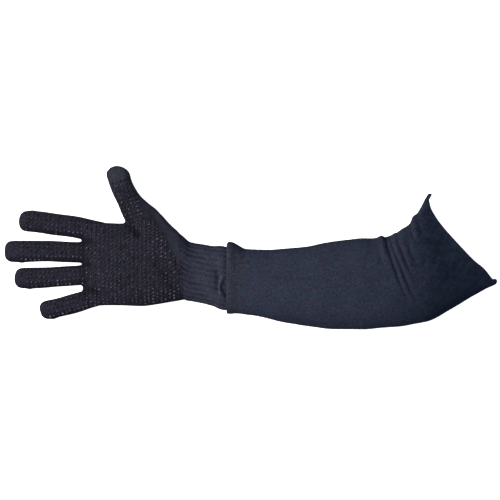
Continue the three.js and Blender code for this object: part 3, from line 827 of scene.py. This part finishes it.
# A painted glint on the glossiest dots
painted_light = add_node(tree, MIX, {0: shine, 6: lit_top, 7: linear(VINYL_PAINTED_GLINT)}, **COLOURS)
# Painted light on each dot's top and side towards the thumb, black on its other sides
colour = add_node(tree, MIX, {0: crown, 6: linear(VINYL_SIDE), 7: painted_light}, **COLOURS)
tree.links.new(colour, shader.inputs["Base Color"])
gloss = add_node(tree, RANGE, {"Value": shine, "To Min": DULL_ROUGHNESS, "To Max": GLOSSY_ROUGHNESS})
tree.links.new(gloss, shader.inputs["Roughness"])
pores = add_node(tree, NOISE, {"Vector": place, "Scale": 1 / (PORE_SIZE * MM)})
dented = {"Height": pores, "Distance": PORE_DEPTH * MM, "Strength": PORE_BUMP}
tree.links.new(add_node(tree, "ShaderNodeBump", dented), shader.inputs["Normal"])
shader.inputs["Specular IOR Level"].default_value = VINYL_SPECULAR

finished = add_node(dots_tree, "GeometryNodeSetMaterial", {"Geometry": smooth, "Material": grip_vinyl})
add_node(dots_tree, "NodeGroupOutput", {"Geometry": finished}, out=None)

# Lines in plan along which dots get more gloss and a painted glint, as they do where shade is painted in the
# creases: how wide and how strong
GLINT_DOTS = [
    {"line": [(-134, 58), (-122, 36), (-106, 14), (-91, -6), (-80, -22)], "width": 9, "share": 0.8},
    {"line": [(-147, 68), (-141, 52)], "width": 4, "share": 0.7},
    {"line": [(-172, 4), (-170, -20), (-166, -50)], "width": 8, "share": 0.7},
    {"line": [(-216, 18), (-186, 11)], "width": 4, "share": 2.0},
    {"line": [(-236, -14), (-186, -16)], "width": 4, "share": 1.2},
    {"line": [(-240, -43), (-186, -41)], "width": 4, "share": 1.0},
    {"line": [(-90, -52), (-77, -55)], "width": 4, "share": 1.0},
]
grip_dots = new_object("grip_dots", glove.data.copy())
points = read_points(grip_dots.data, "co") / MM
fresh = np.empty(len(points))
grip_dots.data.attributes["deep"].data.foreach_get("value", fresh)
for row in GLINT_DOTS:
    gap, _ = near_line(points, row["line"])
    fresh = np.maximum(fresh, row["share"] * np.exp(-((gap / row["width"]) ** 2)))
paint(grip_dots, fresh=fresh)


def run_tree(piece, tree, sizes):
    """Makes what a tree gives from a piece's mesh, with its named sizes in millimetres, the piece's mesh."""
    maker = piece.modifiers.new(tree.name, "NODES")
    maker.node_group = tree
    for socket in tree.interface.items_tree:
        if socket.name in sizes:
            maker[socket.identifier] = sizes[socket.name] * MM
    settle(piece)


run_tree(grip_dots, dots_tree, DOT_SIZES)
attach(grip_dots, "root")

# Ribbed cuff of the glove
# The same glove goes on in an elastic rib: ridges run along the arm and pull it in round the wrist. Its end
# is tucked into the sleeve, and just before the hem the slack cloth puckers up.
RIBS = 29
POINTS_PER_RIB = 14
STITCHES_PER_RIB = 4
RIB_DEPTH = 1.0
RIB_SHARE = 0.66
RIB_SHARE_LIMITS = (0.2, 1.1)
RIB_SLACK = {"size": 14, "height": 0.35, "seed": 8}
CUFF_WALL = 1.4
CUFF_STEPS = 72
CUFF_ROW = 1.7

# Sections along the arm: edge a, edge b, height and lift
CUFF_SECTIONS = [
    (-80, 17.2, -74, -55.2, 33.5, 1.9),
    (-76, 14.4, -71.6, -56.6, 35.4, 1.0),
    (-72, 11.2, -68.5, -57.8, 36.8, 0),
    (-66, 6.0, -64.5, -58.4, 37.3, 0),
    (-60, 4.3, -59, -59.4, 37.5, 0),
    (-50, 2.8, -50, -61.2, 37.8, 0.6),
    (-40, 1.2, -40, -63.9, 38, 1.5),
    (-29, 1, -29, -68, 38, 4),
    (-10, -5.5, -10, -67, 38, 4.3),
]
# Lines in plan of the pucker before the hem, and for each how far the cloth goes up, how wide it is, how much
# of the ribs it smooths away, and how much shade or, where negative, how much light is painted on it
PUCKER_LINES = {
    "ridge": [(-30, -32.2), (-31.6, -35.4), (-33.3, -39.7), (-33.8, -44), (-32.7, -50)],
    "hollow before it": [(-36.5, -25.7), (-36.2, -35.4), (-36, -46.2)],
    "fold behind it": [(-28.6, -36), (-31, -42.6), (-28.2, -49.5), (-26.6, -54)],
    "groove at the hem": [(-26.2, -1), (-26.2, -62)],
    "swelling": [(-31, -14), (-32, -28)],
    "swelling by the thumb": [(-43, -12), (-36, -9)],
}
CUFF_PUCKERS = {
    "ridge": {"up": 1.4, "width": 1.6, "ribs": 0.8, "dark": -0.42},
    "hollow before it": {"up": -0.9, "width": 2.2, "ribs": 0.5, "dark": 0.68},
    "fold behind it": {"up": -1.7, "width": 1.1, "ribs": 0.9, "dark": 1.0},
    "groove at the hem": {"up": -0.8, "width": 1.0, "ribs": 0.6, "dark": 0.7},
    "swelling": {"up": 0.5, "width": 4.0, "ribs": 0.7, "dark": 0.0},
    "swelling by the thumb": {"up": 0.8, "width": 4.0, "ribs": 0.0, "dark": 0.0},
}
PUCKERED_FROM = (14, 26)
FURROW_PAINTED_SHADE = 0.5
CUFF_START_DARK = 0.31
CUFF_START = (-70, -56)

cuff_places = np.linspace(0, len(CUFF_SECTIONS) - 1, CUFF_STEPS)
cuff_points = RIBS * POINTS_PER_RIB
rings = soft_rings(read_rows(CUFF_SECTIONS, cuff_places), cuff_points)
points = rings.reshape(-1, 3)
on_top = smooth_step(points[:, 2], *PUCKERED_FROM)
lift = np.zeros(len(points))
rib_share = np.clip(RIB_SHARE + slack(points, **RIB_SLACK), *RIB_SHARE_LIMITS)
dark = CUFF_START_DARK * (1 - smooth_step(points[:, 0], *CUFF_START))
for name, pucker in CUFF_PUCKERS.items():
    gap, _ = near_line(points, PUCKER_LINES[name])
    near = np.exp(-((gap / pucker["width"]) ** 2)) * on_top
    lift += pucker["up"] * near
    rib_share *= 1 - pucker["ribs"] * near
    # Shade painted in the pucker's hollows and in the groove at the hem, light painted on its ridge
    dark += pucker["dark"] * near
points[:, 2] += lift
cuff = new_piece("cuff", points, skin_faces(CUFF_STEPS, cuff_points).tolist())


def count_stitches(piece, rings, columns, row_size):
    """Counts a tube's stitches on its map: columns round it and rows along it."""
    rows, around = rings.shape[:2]
    middle = np.linalg.norm(np.diff(rings, axis=0), axis=2).mean(axis=1)
    along = np.concatenate([[0], np.cumsum(middle)]) / row_size
    row, point = np.meshgrid(np.arange(rows - 1), np.arange(around), indexing="ij")
    corner_points = np.stack([point, point + 1, point + 1, point], axis=-1)
    corner_rows = np.stack([row, row, row + 1, row + 1], axis=-1)
    stitches = np.stack([corner_points / around * columns, along[corner_rows]], axis=-1)
    piece.data.uv_layers.new(name="knit").uv.foreach_set("vector", stitches.ravel())


count_stitches(cuff, rings, STITCHES_PER_RIB * RIBS, CUFF_ROW)
rib_count = np.tile(np.arange(cuff_points) / POINTS_PER_RIB, CUFF_STEPS)
# Shade painted down in the furrows between the ribs
furrow = FURROW_PAINTED_SHADE * (0.5 - 0.5 * np.cos(2 * math.pi * rib_count)) * rib_share
paint(cuff, rib=rib_count, rib_share=rib_share, deep=np.clip(dark + furrow, 0, 1), pale=np.clip(-dark, 0, 1))
cuff.data.shade_smooth()

# The same yarn, knitted into ribs that stretch: matt, greyer than the hand, with shade painted down in its
# furrows.
rib_knit = knit_cloth(
    "ribbed cotton aramid knit",
    {
        "yarn": "#252835",
        "fibre": "#444858",
        "plum": "#352f43",
        "teal": "#2b3842",
        "hollow": "#11121a",
        # Colour for the painted shade and darker tone; the next for the light painted on the pucker's ridge
        "deep": "#6c6c82",
        "pale": "#3a3e4e",
    },
    relief=0.4,
    roughness=0.94,
    mottle=1.4,
)
ribs_tree, given = new_tree("ribs", {"Geometry": "Geometry", "Rib depth": "Float"}, "Geometry")
counted = add_node(ribs_tree, NAMED, {"Name": "rib"}, data_type="FLOAT")
turned = add_node(ribs_tree, MATH, {0: counted, 1: 2 * math.pi}, operation="MULTIPLY")
wave = add_node(ribs_tree, MATH, {0: turned}, operation="COSINE")
furrow = add_node(ribs_tree, MATH, {0: wave, 1: 0.5, 2: -0.5}, operation="MULTIPLY_ADD")
inward = add_node(ribs_tree, MATH, {0: furrow, 1: given["Rib depth"]}, operation="MULTIPLY")
left = add_node(ribs_tree, NAMED, {"Name": "rib_share"}, data_type="FLOAT")
stretched = add_node(ribs_tree, MATH, {0: inward, 1: left}, operation="MULTIPLY")
outward = add_node(ribs_tree, "GeometryNodeInputNormal")
push = add_node(ribs_tree, VECTOR, {0: outward, "Scale": stretched}, operation="SCALE")
ribbed = add_node(ribs_tree, MOVE, {"Geometry": given["Geometry"], "Offset": push})
whole = add_node(ribs_tree, "GeometryNodeRealizeInstances", {"Geometry": ribbed})
dressed = add_node(ribs_tree, "GeometryNodeSetMaterial", {"Geometry": whole, "Material": rib_knit})
add_node(ribs_tree, "NodeGroupOutput", {"Geometry": dressed}, out=None)
run_tree(cuff, ribs_tree, {"Rib depth": RIB_DEPTH})
give_wall(cuff, CUFF_WALL)
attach(cuff, "root")
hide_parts("rib_cuff")

# Sleeve
# A seamless tube of fine heat-resistant knit in blue-black yarn. It lies over the cuff, bends at the elbow,
# where the slack of its inner side gathers in folds, and ends in a soft open mouth pulled out to two points.
SLEEVE_WALL = 1.5
SLEEVE_POINTS = 232
SLEEVE_STEPS = 204
SLEEVE_START = 0.15
ELBOW_ROW = 5.6
ELBOW_SHARE = 0.38
SLEEVE_COLUMNS = 110
SLEEVE_ROW = 1.7

# Sections from wrist to mouth: edge a, edge b, height, lift, share of the rim's lag, how flat it is pressed
SLEEVE_SECTIONS = [
    (-27, 1, -27, -70.6, 44, 2, 0, 0),
    (-9, -2, -9, -72, 46, 1.5, 0, 0),
    (17, -3, 15, -76, 50, 0, 0, 0),
    (49, -1, 47, -82.5, 53, 0, 0, 0),
    (82, 4.5, 82, -87, 55, 0, 0, 0),
    (114, 9, 116, -88, 55, 0, 0, 0),
    (138, 10, 147, -86.5, 54, 0, 0, 0),
    (153, 13.5, 170, -84, 52, 0, 0, 0),
    (166, 20.5, 194, -78.5, 48, 0, 0.05, 0.02),
    (176, 32.5, 216, -66.5, 42, 0, 0.2, 0.04),
    (183.5, 42.5, 237, -54.5, 35, 0, 0.45, 0.07),
    (188.8, 51.5, 254.3, -44.5, 29, 0, 0.75, 0.1),
    (194.2, 55.8, 262.9, -38, 25, 0, 1, 0.13),
]
# Folds at the elbow: how deep the groove is (a ridge where negative), how wide, and its line in plan
ELBOW_FOLDS = [
    (1.0, 2.4, [(138.4, 1), (139.5, -8), (142.2, -24)]),
    (-2.1, 3.8, [(139.8, 20), (141, 4), (144, -14)]),
    (1.95, 1.7, [(145.4, 22), (146.6, 4.2), (150.3, -8.4), (153.9, -19.2), (161.1, -39), (173, -68)]),
    (1.7, 1.7, [(149.5, 22), (151, 6), (155.7, -8.4), (161.1, -21), (170.1, -42.7), (184, -66)]),
    (-1.3, 3.2, [(154, 24), (157.5, 6)]),
    (1.4, 1.9, [(156.5, 18), (158.8, 4.2), (163, -4.9), (167.4, -17.4), (174.6, -31)]),
    (-1.4, 4.0, [(161.5, 30), (166, 8)]),
    (1.0, 2.6, [(171.4, 10), (172, -5.2), (181, -18.1)]),
    (1.3, 2.0, [(170, 36), (174, 16), (178, 4)]),
    (-1.4, 3.4, [(172.8, 41), (177, 24), (182, 8)]),
    (0.8, 2.6, [(178.2, 46), (184, 24), (189, 10)]),
]
FOLD_POINTS = 24
FOLD_SHARPNESS = 1.5
FOLD_START = 0.6
FOLD_START_REACH = (0.05, 0.35)
FOLD_FADE = 0.3
SHOULDER = 0.22
SHOULDER_AT = 2.6
SHOULDER_WIDTH = 1.3
# Faint slack of the forearm and of the mouth: the line in plan, how deep, how wide and how much shade is
# painted in it
SLEEVE_DENTS = [
    {"line": [(6, -32.2), (45, -33.4), (92, -35)], "depth": 0.6, "width": 1.3, "dark": 0.4},
    {"line": [(196, -52), (216, -36), (238, -28)], "depth": 2.0, "width": 11.0, "dark": 0.0},
    {"line": [(190, 20), (206, 2), (218, -20)], "depth": 1.2, "width": 9.0, "dark": 0.0},
]
DENT_POINTS = 16
DENT_FADE = 0.4
SLEEVE_SLACK = [{"size": 38, "height": 0.45, "seed": 5}, {"size": 14, "height": 0.14, "seed": 6}]
SLEEVE_EASE = 0.4
UPPER_SIDE = (-9, 5)
# Crease behind the wrist hem, shared by the sleeve and the hem
WRIST_CREASE = {"line": [(-16.2, -3), (-16, -18), (-15.4, -34)], "depth": 0.7, "width": 3.2, "fade": 0.6}

fore_steps = round(SLEEVE_STEPS * ELBOW_SHARE)
fore_places = np.linspace(SLEEVE_START, ELBOW_ROW, fore_steps, endpoint=False)
upper_places = np.linspace(ELBOW_ROW, len(SLEEVE_SECTIONS) - 1, SLEEVE_STEPS - fore_steps)
sleeve_places = np.concatenate([fore_places, upper_places])
sleeve_rows = read_rows(SLEEVE_SECTIONS, sleeve_places)
rings = soft_rings(sleeve_rows[:, :6], SLEEVE_POINTS, np.maximum(sleeve_rows[:, 7], 0))


def fold_profile(gap, width):
    """A groove with a soft bottom and slightly raised shoulders, 1 deep and width wide."""
    groove = np.exp(-((gap / width) ** FOLD_SHARPNESS))
    return groove - SHOULDER * np.exp(-(((gap - SHOULDER_AT * width) / (SHOULDER_WIDTH * width)) ** 2))


def sleeve_slack(points):
    """Unevenness of the sleeve's cloth, which the hem shares."""
    return sum(slack(points, **row) for row in SLEEVE_SLACK)


def wrist_crease(points):
    """How deep the crease behind the hem is at points of the sleeve's upper side."""
    gap, along = near_line(points, WRIST_CREASE["line"])
    fade = smooth_step(1 - along, 0, WRIST_CREASE["fade"])
    return WRIST_CREASE["depth"] * fade * np.exp(-((gap / WRIST_CREASE["width"]) ** 2))


edge_a = sleeve_rows[:, 0:2]
edge_b = sleeve_rows[:, 2:4]
width = np.linalg.norm(edge_b - edge_a, axis=1)
across = (edge_b - edge_a) / width[:, None]
share = ((rings[:, :, :2] - edge_a[:, None]) * across[:, None]).sum(axis=2) / width[:, None]
middle_z = np.maximum(sleeve_rows[:, 5], 0) + WIDEST_AT * sleeve_rows[:, 4]
outward = rings - np.column_stack([(edge_a + edge_b) / 2, middle_z])[:, None]
outward = (outward / np.linalg.norm(outward, axis=2, keepdims=True)).reshape(-1, 3)
upper = smooth_step(rings[:, :, 2] - middle_z[:, None], *UPPER_SIDE).ravel()
points = rings.reshape(-1, 3).copy()
push = np.zeros(len(points))
dark = np.zeros(len(points))
for depth, fold_width, line in ELBOW_FOLDS:
    gap, along = near_line(points, read_rows(line, np.linspace(0, len(line) - 1, FOLD_POINTS)))
    start = FOLD_START + (1 - FOLD_START) * smooth_step(along, *FOLD_START_REACH)
    push -= depth * start * smooth_step(1 - along, 0, FOLD_FADE) * fold_profile(gap, fold_width)
for dent in SLEEVE_DENTS:
    line = read_rows(dent["line"], np.linspace(0, len(dent["line"]) - 1, DENT_POINTS))
    gap, along = near_line(points, line)
    near = smooth_step(np.minimum(along, 1 - along), 0, DENT_FADE) * np.exp(-((gap / dent["width"]) ** 2))
    push -= dent["depth"] * near
    # Shade painted along the forearm's crease
    dark = np.maximum(dark, dent["dark"] * near * upper)
push = (push - wrist_crease(points)) * upper + sleeve_slack(points) + SLEEVE_EASE
points += outward * push[:, None]

# The mouth's rim in plan, from its upper corner to its lower one: how far along it, and how far it hangs back
# from a straight line; and the same for the small hook of its lower corner
RIM_LINE = [
    (0, 0.3),
    (1.9, -1.8),
    (3.2, 0),
    (4.8, 3.0),
    (6.4, 4.6),
    (9.4, 6.1),
    (13.6, 7.9),
    (18.4, 8.9),
    (28.6, 9.7),
    (39.4, 9.4),
    (50.2, 8.4),
    (64.5, 6.5),
    (81.5, 4.0),
    (94.5, 0.6),
    (105.6, -0.2),
    (116.3, -0.3),
]
RIM_HOOK = [(108, 0), (110.3, -0.2), (111.6, -1.3), (112.4, -3.4), (113.7, -3.2), (115.3, -2.1), (116.3, 0)]
RIM_POINTS = 200
HOOK_FROM = 0.8
RIM_CURL = 2.2
RIM_CURL_LENGTH = 6.0

rim_line = read_rows(RIM_LINE, np.linspace(0, len(RIM_LINE) - 1, RIM_POINTS))
lag = np.interp(share * width[-1], *rim_line.T)
hook = np.interp(share * width[-1], *np.array(RIM_HOOK).T)
rim_share = np.clip(sleeve_rows[:, 6], 0, 1)[:, None]
slip = rim_share * lag + np.clip((rim_share - HOOK_FROM) / (1 - HOOK_FROM), 0, 1) * hook
back = np.column_stack([across[:, 1], -across[:, 0], np.zeros(SLEEVE_STEPS)])
points += (back[:, None] * slip[:, :, None]).reshape(-1, 3)
from_wrist = length_along(rings.mean(axis=1))
curl = RIM_CURL * np.exp(-(((from_wrist[-1] - from_wrist) / RIM_CURL_LENGTH) ** 2))
points += outward * np.repeat(curl, SLEEVE_POINTS)[:, None]
points[:, 2] = np.maximum(points[:, 2], 0)
sleeve = new_piece("sleeve", points, skin_faces(SLEEVE_STEPS, SLEEVE_POINTS).tolist())
count_stitches(sleeve, points.reshape(rings.shape), SLEEVE_COLUMNS, SLEEVE_ROW)
sleeve.data.shade_smooth()
give_wall(sleeve, SLEEVE_WALL)

# Past the elbow shade is painted into the cloth, and small clouds of varying tone lie over it there. The
# shade comes sooner and is deeper on the outside of the bend. How far it reaches is counted in rows of the
# sections.
ELBOW_PAINTED_SHADE = 0.8
ELBOW_SHADE_REACH = (6.6, 12.0)
ELBOW_SHADE_SOONER = 2.3
ELBOW_SHADE_INSIDE = 0.65
ELBOW_SHADE_RISE = 0.5
CLOUD_SIZES = (3.9, 5.3, 7.1)
CLOUD_DARK = 0.15
CLOUD_SEED = 9
CLOUD_REACH = (6.8, 8.8)

clouds = sum(slack(points, size, CLOUD_DARK, CLOUD_SEED) for size in CLOUD_SIZES).reshape(share.shape)
# Shade painted past the elbow, towards the mouth
deep = ELBOW_PAINTED_SHADE * smooth_step(sleeve_places[:, None] + ELBOW_SHADE_SOONER * share**2, *ELBOW_SHADE_REACH)
deep *= ELBOW_SHADE_INSIDE + ELBOW_SHADE_RISE * share
deep = np.clip(deep + clouds * smooth_step(sleeve_places, *CLOUD_REACH)[:, None], 0, 1)
paint(sleeve, deep=np.maximum(deep.ravel(), dark))

# Fine plain knit of heat-resistant yarn, dyed blue-black: matt with a faint fuzz, bluer than the glove, and
# with a heather of purple and grey-green fibres. The stitches are drawn coarser than real ones, to show.
sleeve_knit = knit_cloth(
    "heat-resistant knit",
    {
        "yarn": "#222737",
        "fibre": "#343a49",
        "plum": "#302b40",
        "teal": "#253640",
        "hollow": "#12151f",
        # Colour that the painted shade and the clouds of tone darken the cloth by
        "deep": "#98bccb",
    },
    relief=0.35,
    roughness=0.95,
    mottle=2.3,
)
sleeve.data.materials.append(sleeve_knit)
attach(sleeve, "root")
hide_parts("sleeve_body")

# Turned-back hem of the sleeve
# At the wrist the tube is folded back over itself into a soft double band. It stands up as a rounded lip on
# the thumb's side and lies almost flat on the other, with a crease behind the lip.
HEM_POINTS = 220
HEM_STEPS = 72
HEM_THUMB = 3.2
HEM_TOP = 1.6
HEM_SIDE = 1.3
LIP_POWER = 3
# Shares of a turn, from the thumb's side over the top, between which the roll is at its highest
ROLL_RISE = (-0.02, 0.06)
ROLL_FALL = (0.2, 0.44)

# The band's section along the arm: place, how far it stands off the sleeve, its share of the lip that stands
# up on the thumb's side and its share of the low roll across the top
HEM_PROFILE = [
    (-24.8, -1.5, 0.0, 0.0),
    (-25.5, -1.0, 0.0, 0.04),
    (-25.7, 0.1, 0.1, 0.2),
    (-25.2, 0.6, 0.36, 0.6),
    (-24.2, 0.8, 0.66, 0.92),
    (-22.8, 0.8, 0.88, 1.0),
    (-21.2, 0.8, 0.98, 0.96),
    (-18.8, 0.8, 1.15, 0.66),
    (-16.4, 0.8, 1.18, 0.3),
    (-14.0, 0.7, 1.0, 0.12),
    (-11.5, 0.55, 0.68, 0.04),
    (-8.6, 0.35, 0.3, 0.0),
    (-5.0, 0.05, 0.05, 0.0),
    (-4.4, -0.3, 0.0, 0.0),
    (-8.0, -0.35, 0.0, 0.0),
    (-14.0, 0.1, 0.0, 0.0),
    (-20.0, 0.15, 0.0, 0.0),
    (-24.0, 0.1, 0.0, 0.0),
    (-24.5, -0.7, 0.0, 0.0),
]
hem_places = np.linspace(0, len(HEM_PROFILE), HEM_STEPS, endpoint=False)
profile = read_rows(HEM_PROFILE + HEM_PROFILE[:1], hem_places)
wrist_rows = np.array([row[:6] for row in SLEEVE_SECTIONS[:3]], float)
turn = np.arange(HEM_POINTS) / HEM_POINTS
towards_thumb = 0.5 + 0.5 * np.cos(2 * math.pi * turn)
over_top = smooth_step(turn, *ROLL_RISE) * (1 - smooth_step(turn, *ROLL_FALL))
rings = []
for x, stand, lip_share, roll_share in profile:
    place = max((x - wrist_rows[0, 0]) / (wrist_rows[1, 0] - wrist_rows[0, 0]), 0)
    section = read_rows(wrist_rows, [place])[0]
    section[[0, 2]] = x
    ring = soft_rings([section], HEM_POINTS)[0]
    along = np.roll(ring, -1, axis=0) - np.roll(ring, 1, axis=0)
    normal = np.stack([np.zeros(HEM_POINTS), along[:, 2], -along[:, 1]], axis=1)
    normal /= np.linalg.norm(normal, axis=1)[:, None]
    inside = ((normal * (ring - ring.mean(axis=0))).sum(axis=1) < 0)[:, None]
    normal = np.where(inside, -normal, normal)
    lip = max(lip_share, 0) * HEM_THUMB * towards_thumb**LIP_POWER
    roll = max(roll_share, 0) * (HEM_SIDE + (HEM_TOP - HEM_SIDE) * over_top)
    on_top = smooth_step(ring[:, 2] - section[5] - WIDEST_AT * section[4], *UPPER_SIDE)
    out = stand + lip + roll + sleeve_slack(ring) - wrist_crease(ring) * on_top
    ring = ring + normal * out[:, None]
    ring[:, 2] = np.maximum(ring[:, 2], 0)
    rings.append(ring)
rings = np.array(rings + rings[:1])
faces = skin_faces(HEM_STEPS + 1, HEM_POINTS) % (HEM_STEPS * HEM_POINTS)
hem = new_piece("hem", rings[:-1].reshape(-1, 3), faces.tolist())
count_stitches(hem, rings, SLEEVE_COLUMNS, SLEEVE_ROW)
hem.data.shade_smooth()

# The same knit, doubled: it lets less light through, which takes some of the blue out of it.
hem_knit = knit_cloth(
    "doubled heat-resistant knit",
    {"yarn": "#222531", "fibre": "#393c48", "plum": "#342e40", "teal": "#29383f", "hollow": "#13161e"},
    relief=0.35,
    roughness=0.95,
    mottle=2.3,
)
hem.data.materials.append(hem_knit)
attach(hem, "root")
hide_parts("wrist_hem")

# Floor, light and camera
# A plain white floor, lit from within as a light table is, under one large soft light from the left and an
# even light from all round, seen from straight above through a long lens. These sizes are in metres.
FLOOR_SIZE = 6.0
FLOOR_DROP = 0.0004
PAPER_GRAIN = 40.0
PAPER_ROUGHNESS = 0.95
PAPER_SPECULAR = 0.1
KEY_PLACE = (-0.95, 0.1, 1.1)
KEY_SIZE = 0.8
KEY_POWER = 34.5
SKY_RISE = (-0.1, 0.7)
SKY_STRENGTH = (0.36, 0.42)
VIEW_WIDTH = 0.5404
VIEW_CENTRE = (-0.0004, -0.0032)
CAMERA_HEIGHT = 5.0
FARTHEST = 20

half = FLOOR_SIZE / 2
floor_corners = [(x, y, -FLOOR_DROP) for x, y in ((-half, -half), (half, -half), (half, half), (-half, half))]
floor = new_object("floor", bpy.data.meshes.new("floor"))
floor.data.from_pydata(floor_corners, [], [(0, 1, 2, 3)])
paper, tree, shader = new_material("white paper")
place = add_node(tree, "ShaderNodeTexCoord", out="Object")
grain = add_node(tree, NOISE, {"Vector": place, "Scale": PAPER_GRAIN})
white = add_node(tree, MIX, {0: grain, 6: linear("#f0f0f0"), 7: linear("#f4f4f4")}, **COLOURS)
tree.links.new(white, shader.inputs["Base Color"])
shader.inputs["Roughness"].default_value = PAPER_ROUGHNESS
shader.inputs["Specular IOR Level"].default_value = PAPER_SPECULAR
shader.inputs["Emission Color"].default_value = linear("#ffffff")
shader.inputs["Emission Strength"].default_value = 1.0
floor.data.materials.append(paper)
floor.visible_diffuse = False
floor.visible_glossy = False

key = bpy.data.lights.new("key", "AREA")
key.shape = "DISK"
key.size = KEY_SIZE
key.energy = KEY_POWER
key.color = linear("#fff6ee")[:3]
key_light = new_object("key", key)
key_light.location = KEY_PLACE
key_light.rotation_euler = (-key_light.location).to_track_quat("-Z", "Y").to_euler()

world = bpy.data.worlds.new("even light")
world.use_nodes = True
tree = world.node_tree
sky = tree.nodes["Background"].inputs
up = add_node(tree, SEPARATE, {0: add_node(tree, "ShaderNodeTexCoord", out="Generated")}, out="Z")
limits = dict(zip(("From Min", "From Max", "To Min", "To Max"), SKY_RISE + SKY_STRENGTH))
tree.links.new(add_node(tree, RANGE, {"Value": up, **limits}), sky["Strength"])
sky["Color"].default_value = linear("#d6e2ff")
bpy.context.scene.world = world
bpy.context.scene.view_settings.view_transform = "Standard"

camera = bpy.data.cameras.new("camera")
camera.lens = camera.sensor_width * CAMERA_HEIGHT / VIEW_WIDTH
camera.clip_end = FARTHEST
view = new_object("camera", camera)
view.location = (*VIEW_CENTRE, CAMERA_HEIGHT)
bpy.context.scene.camera = view
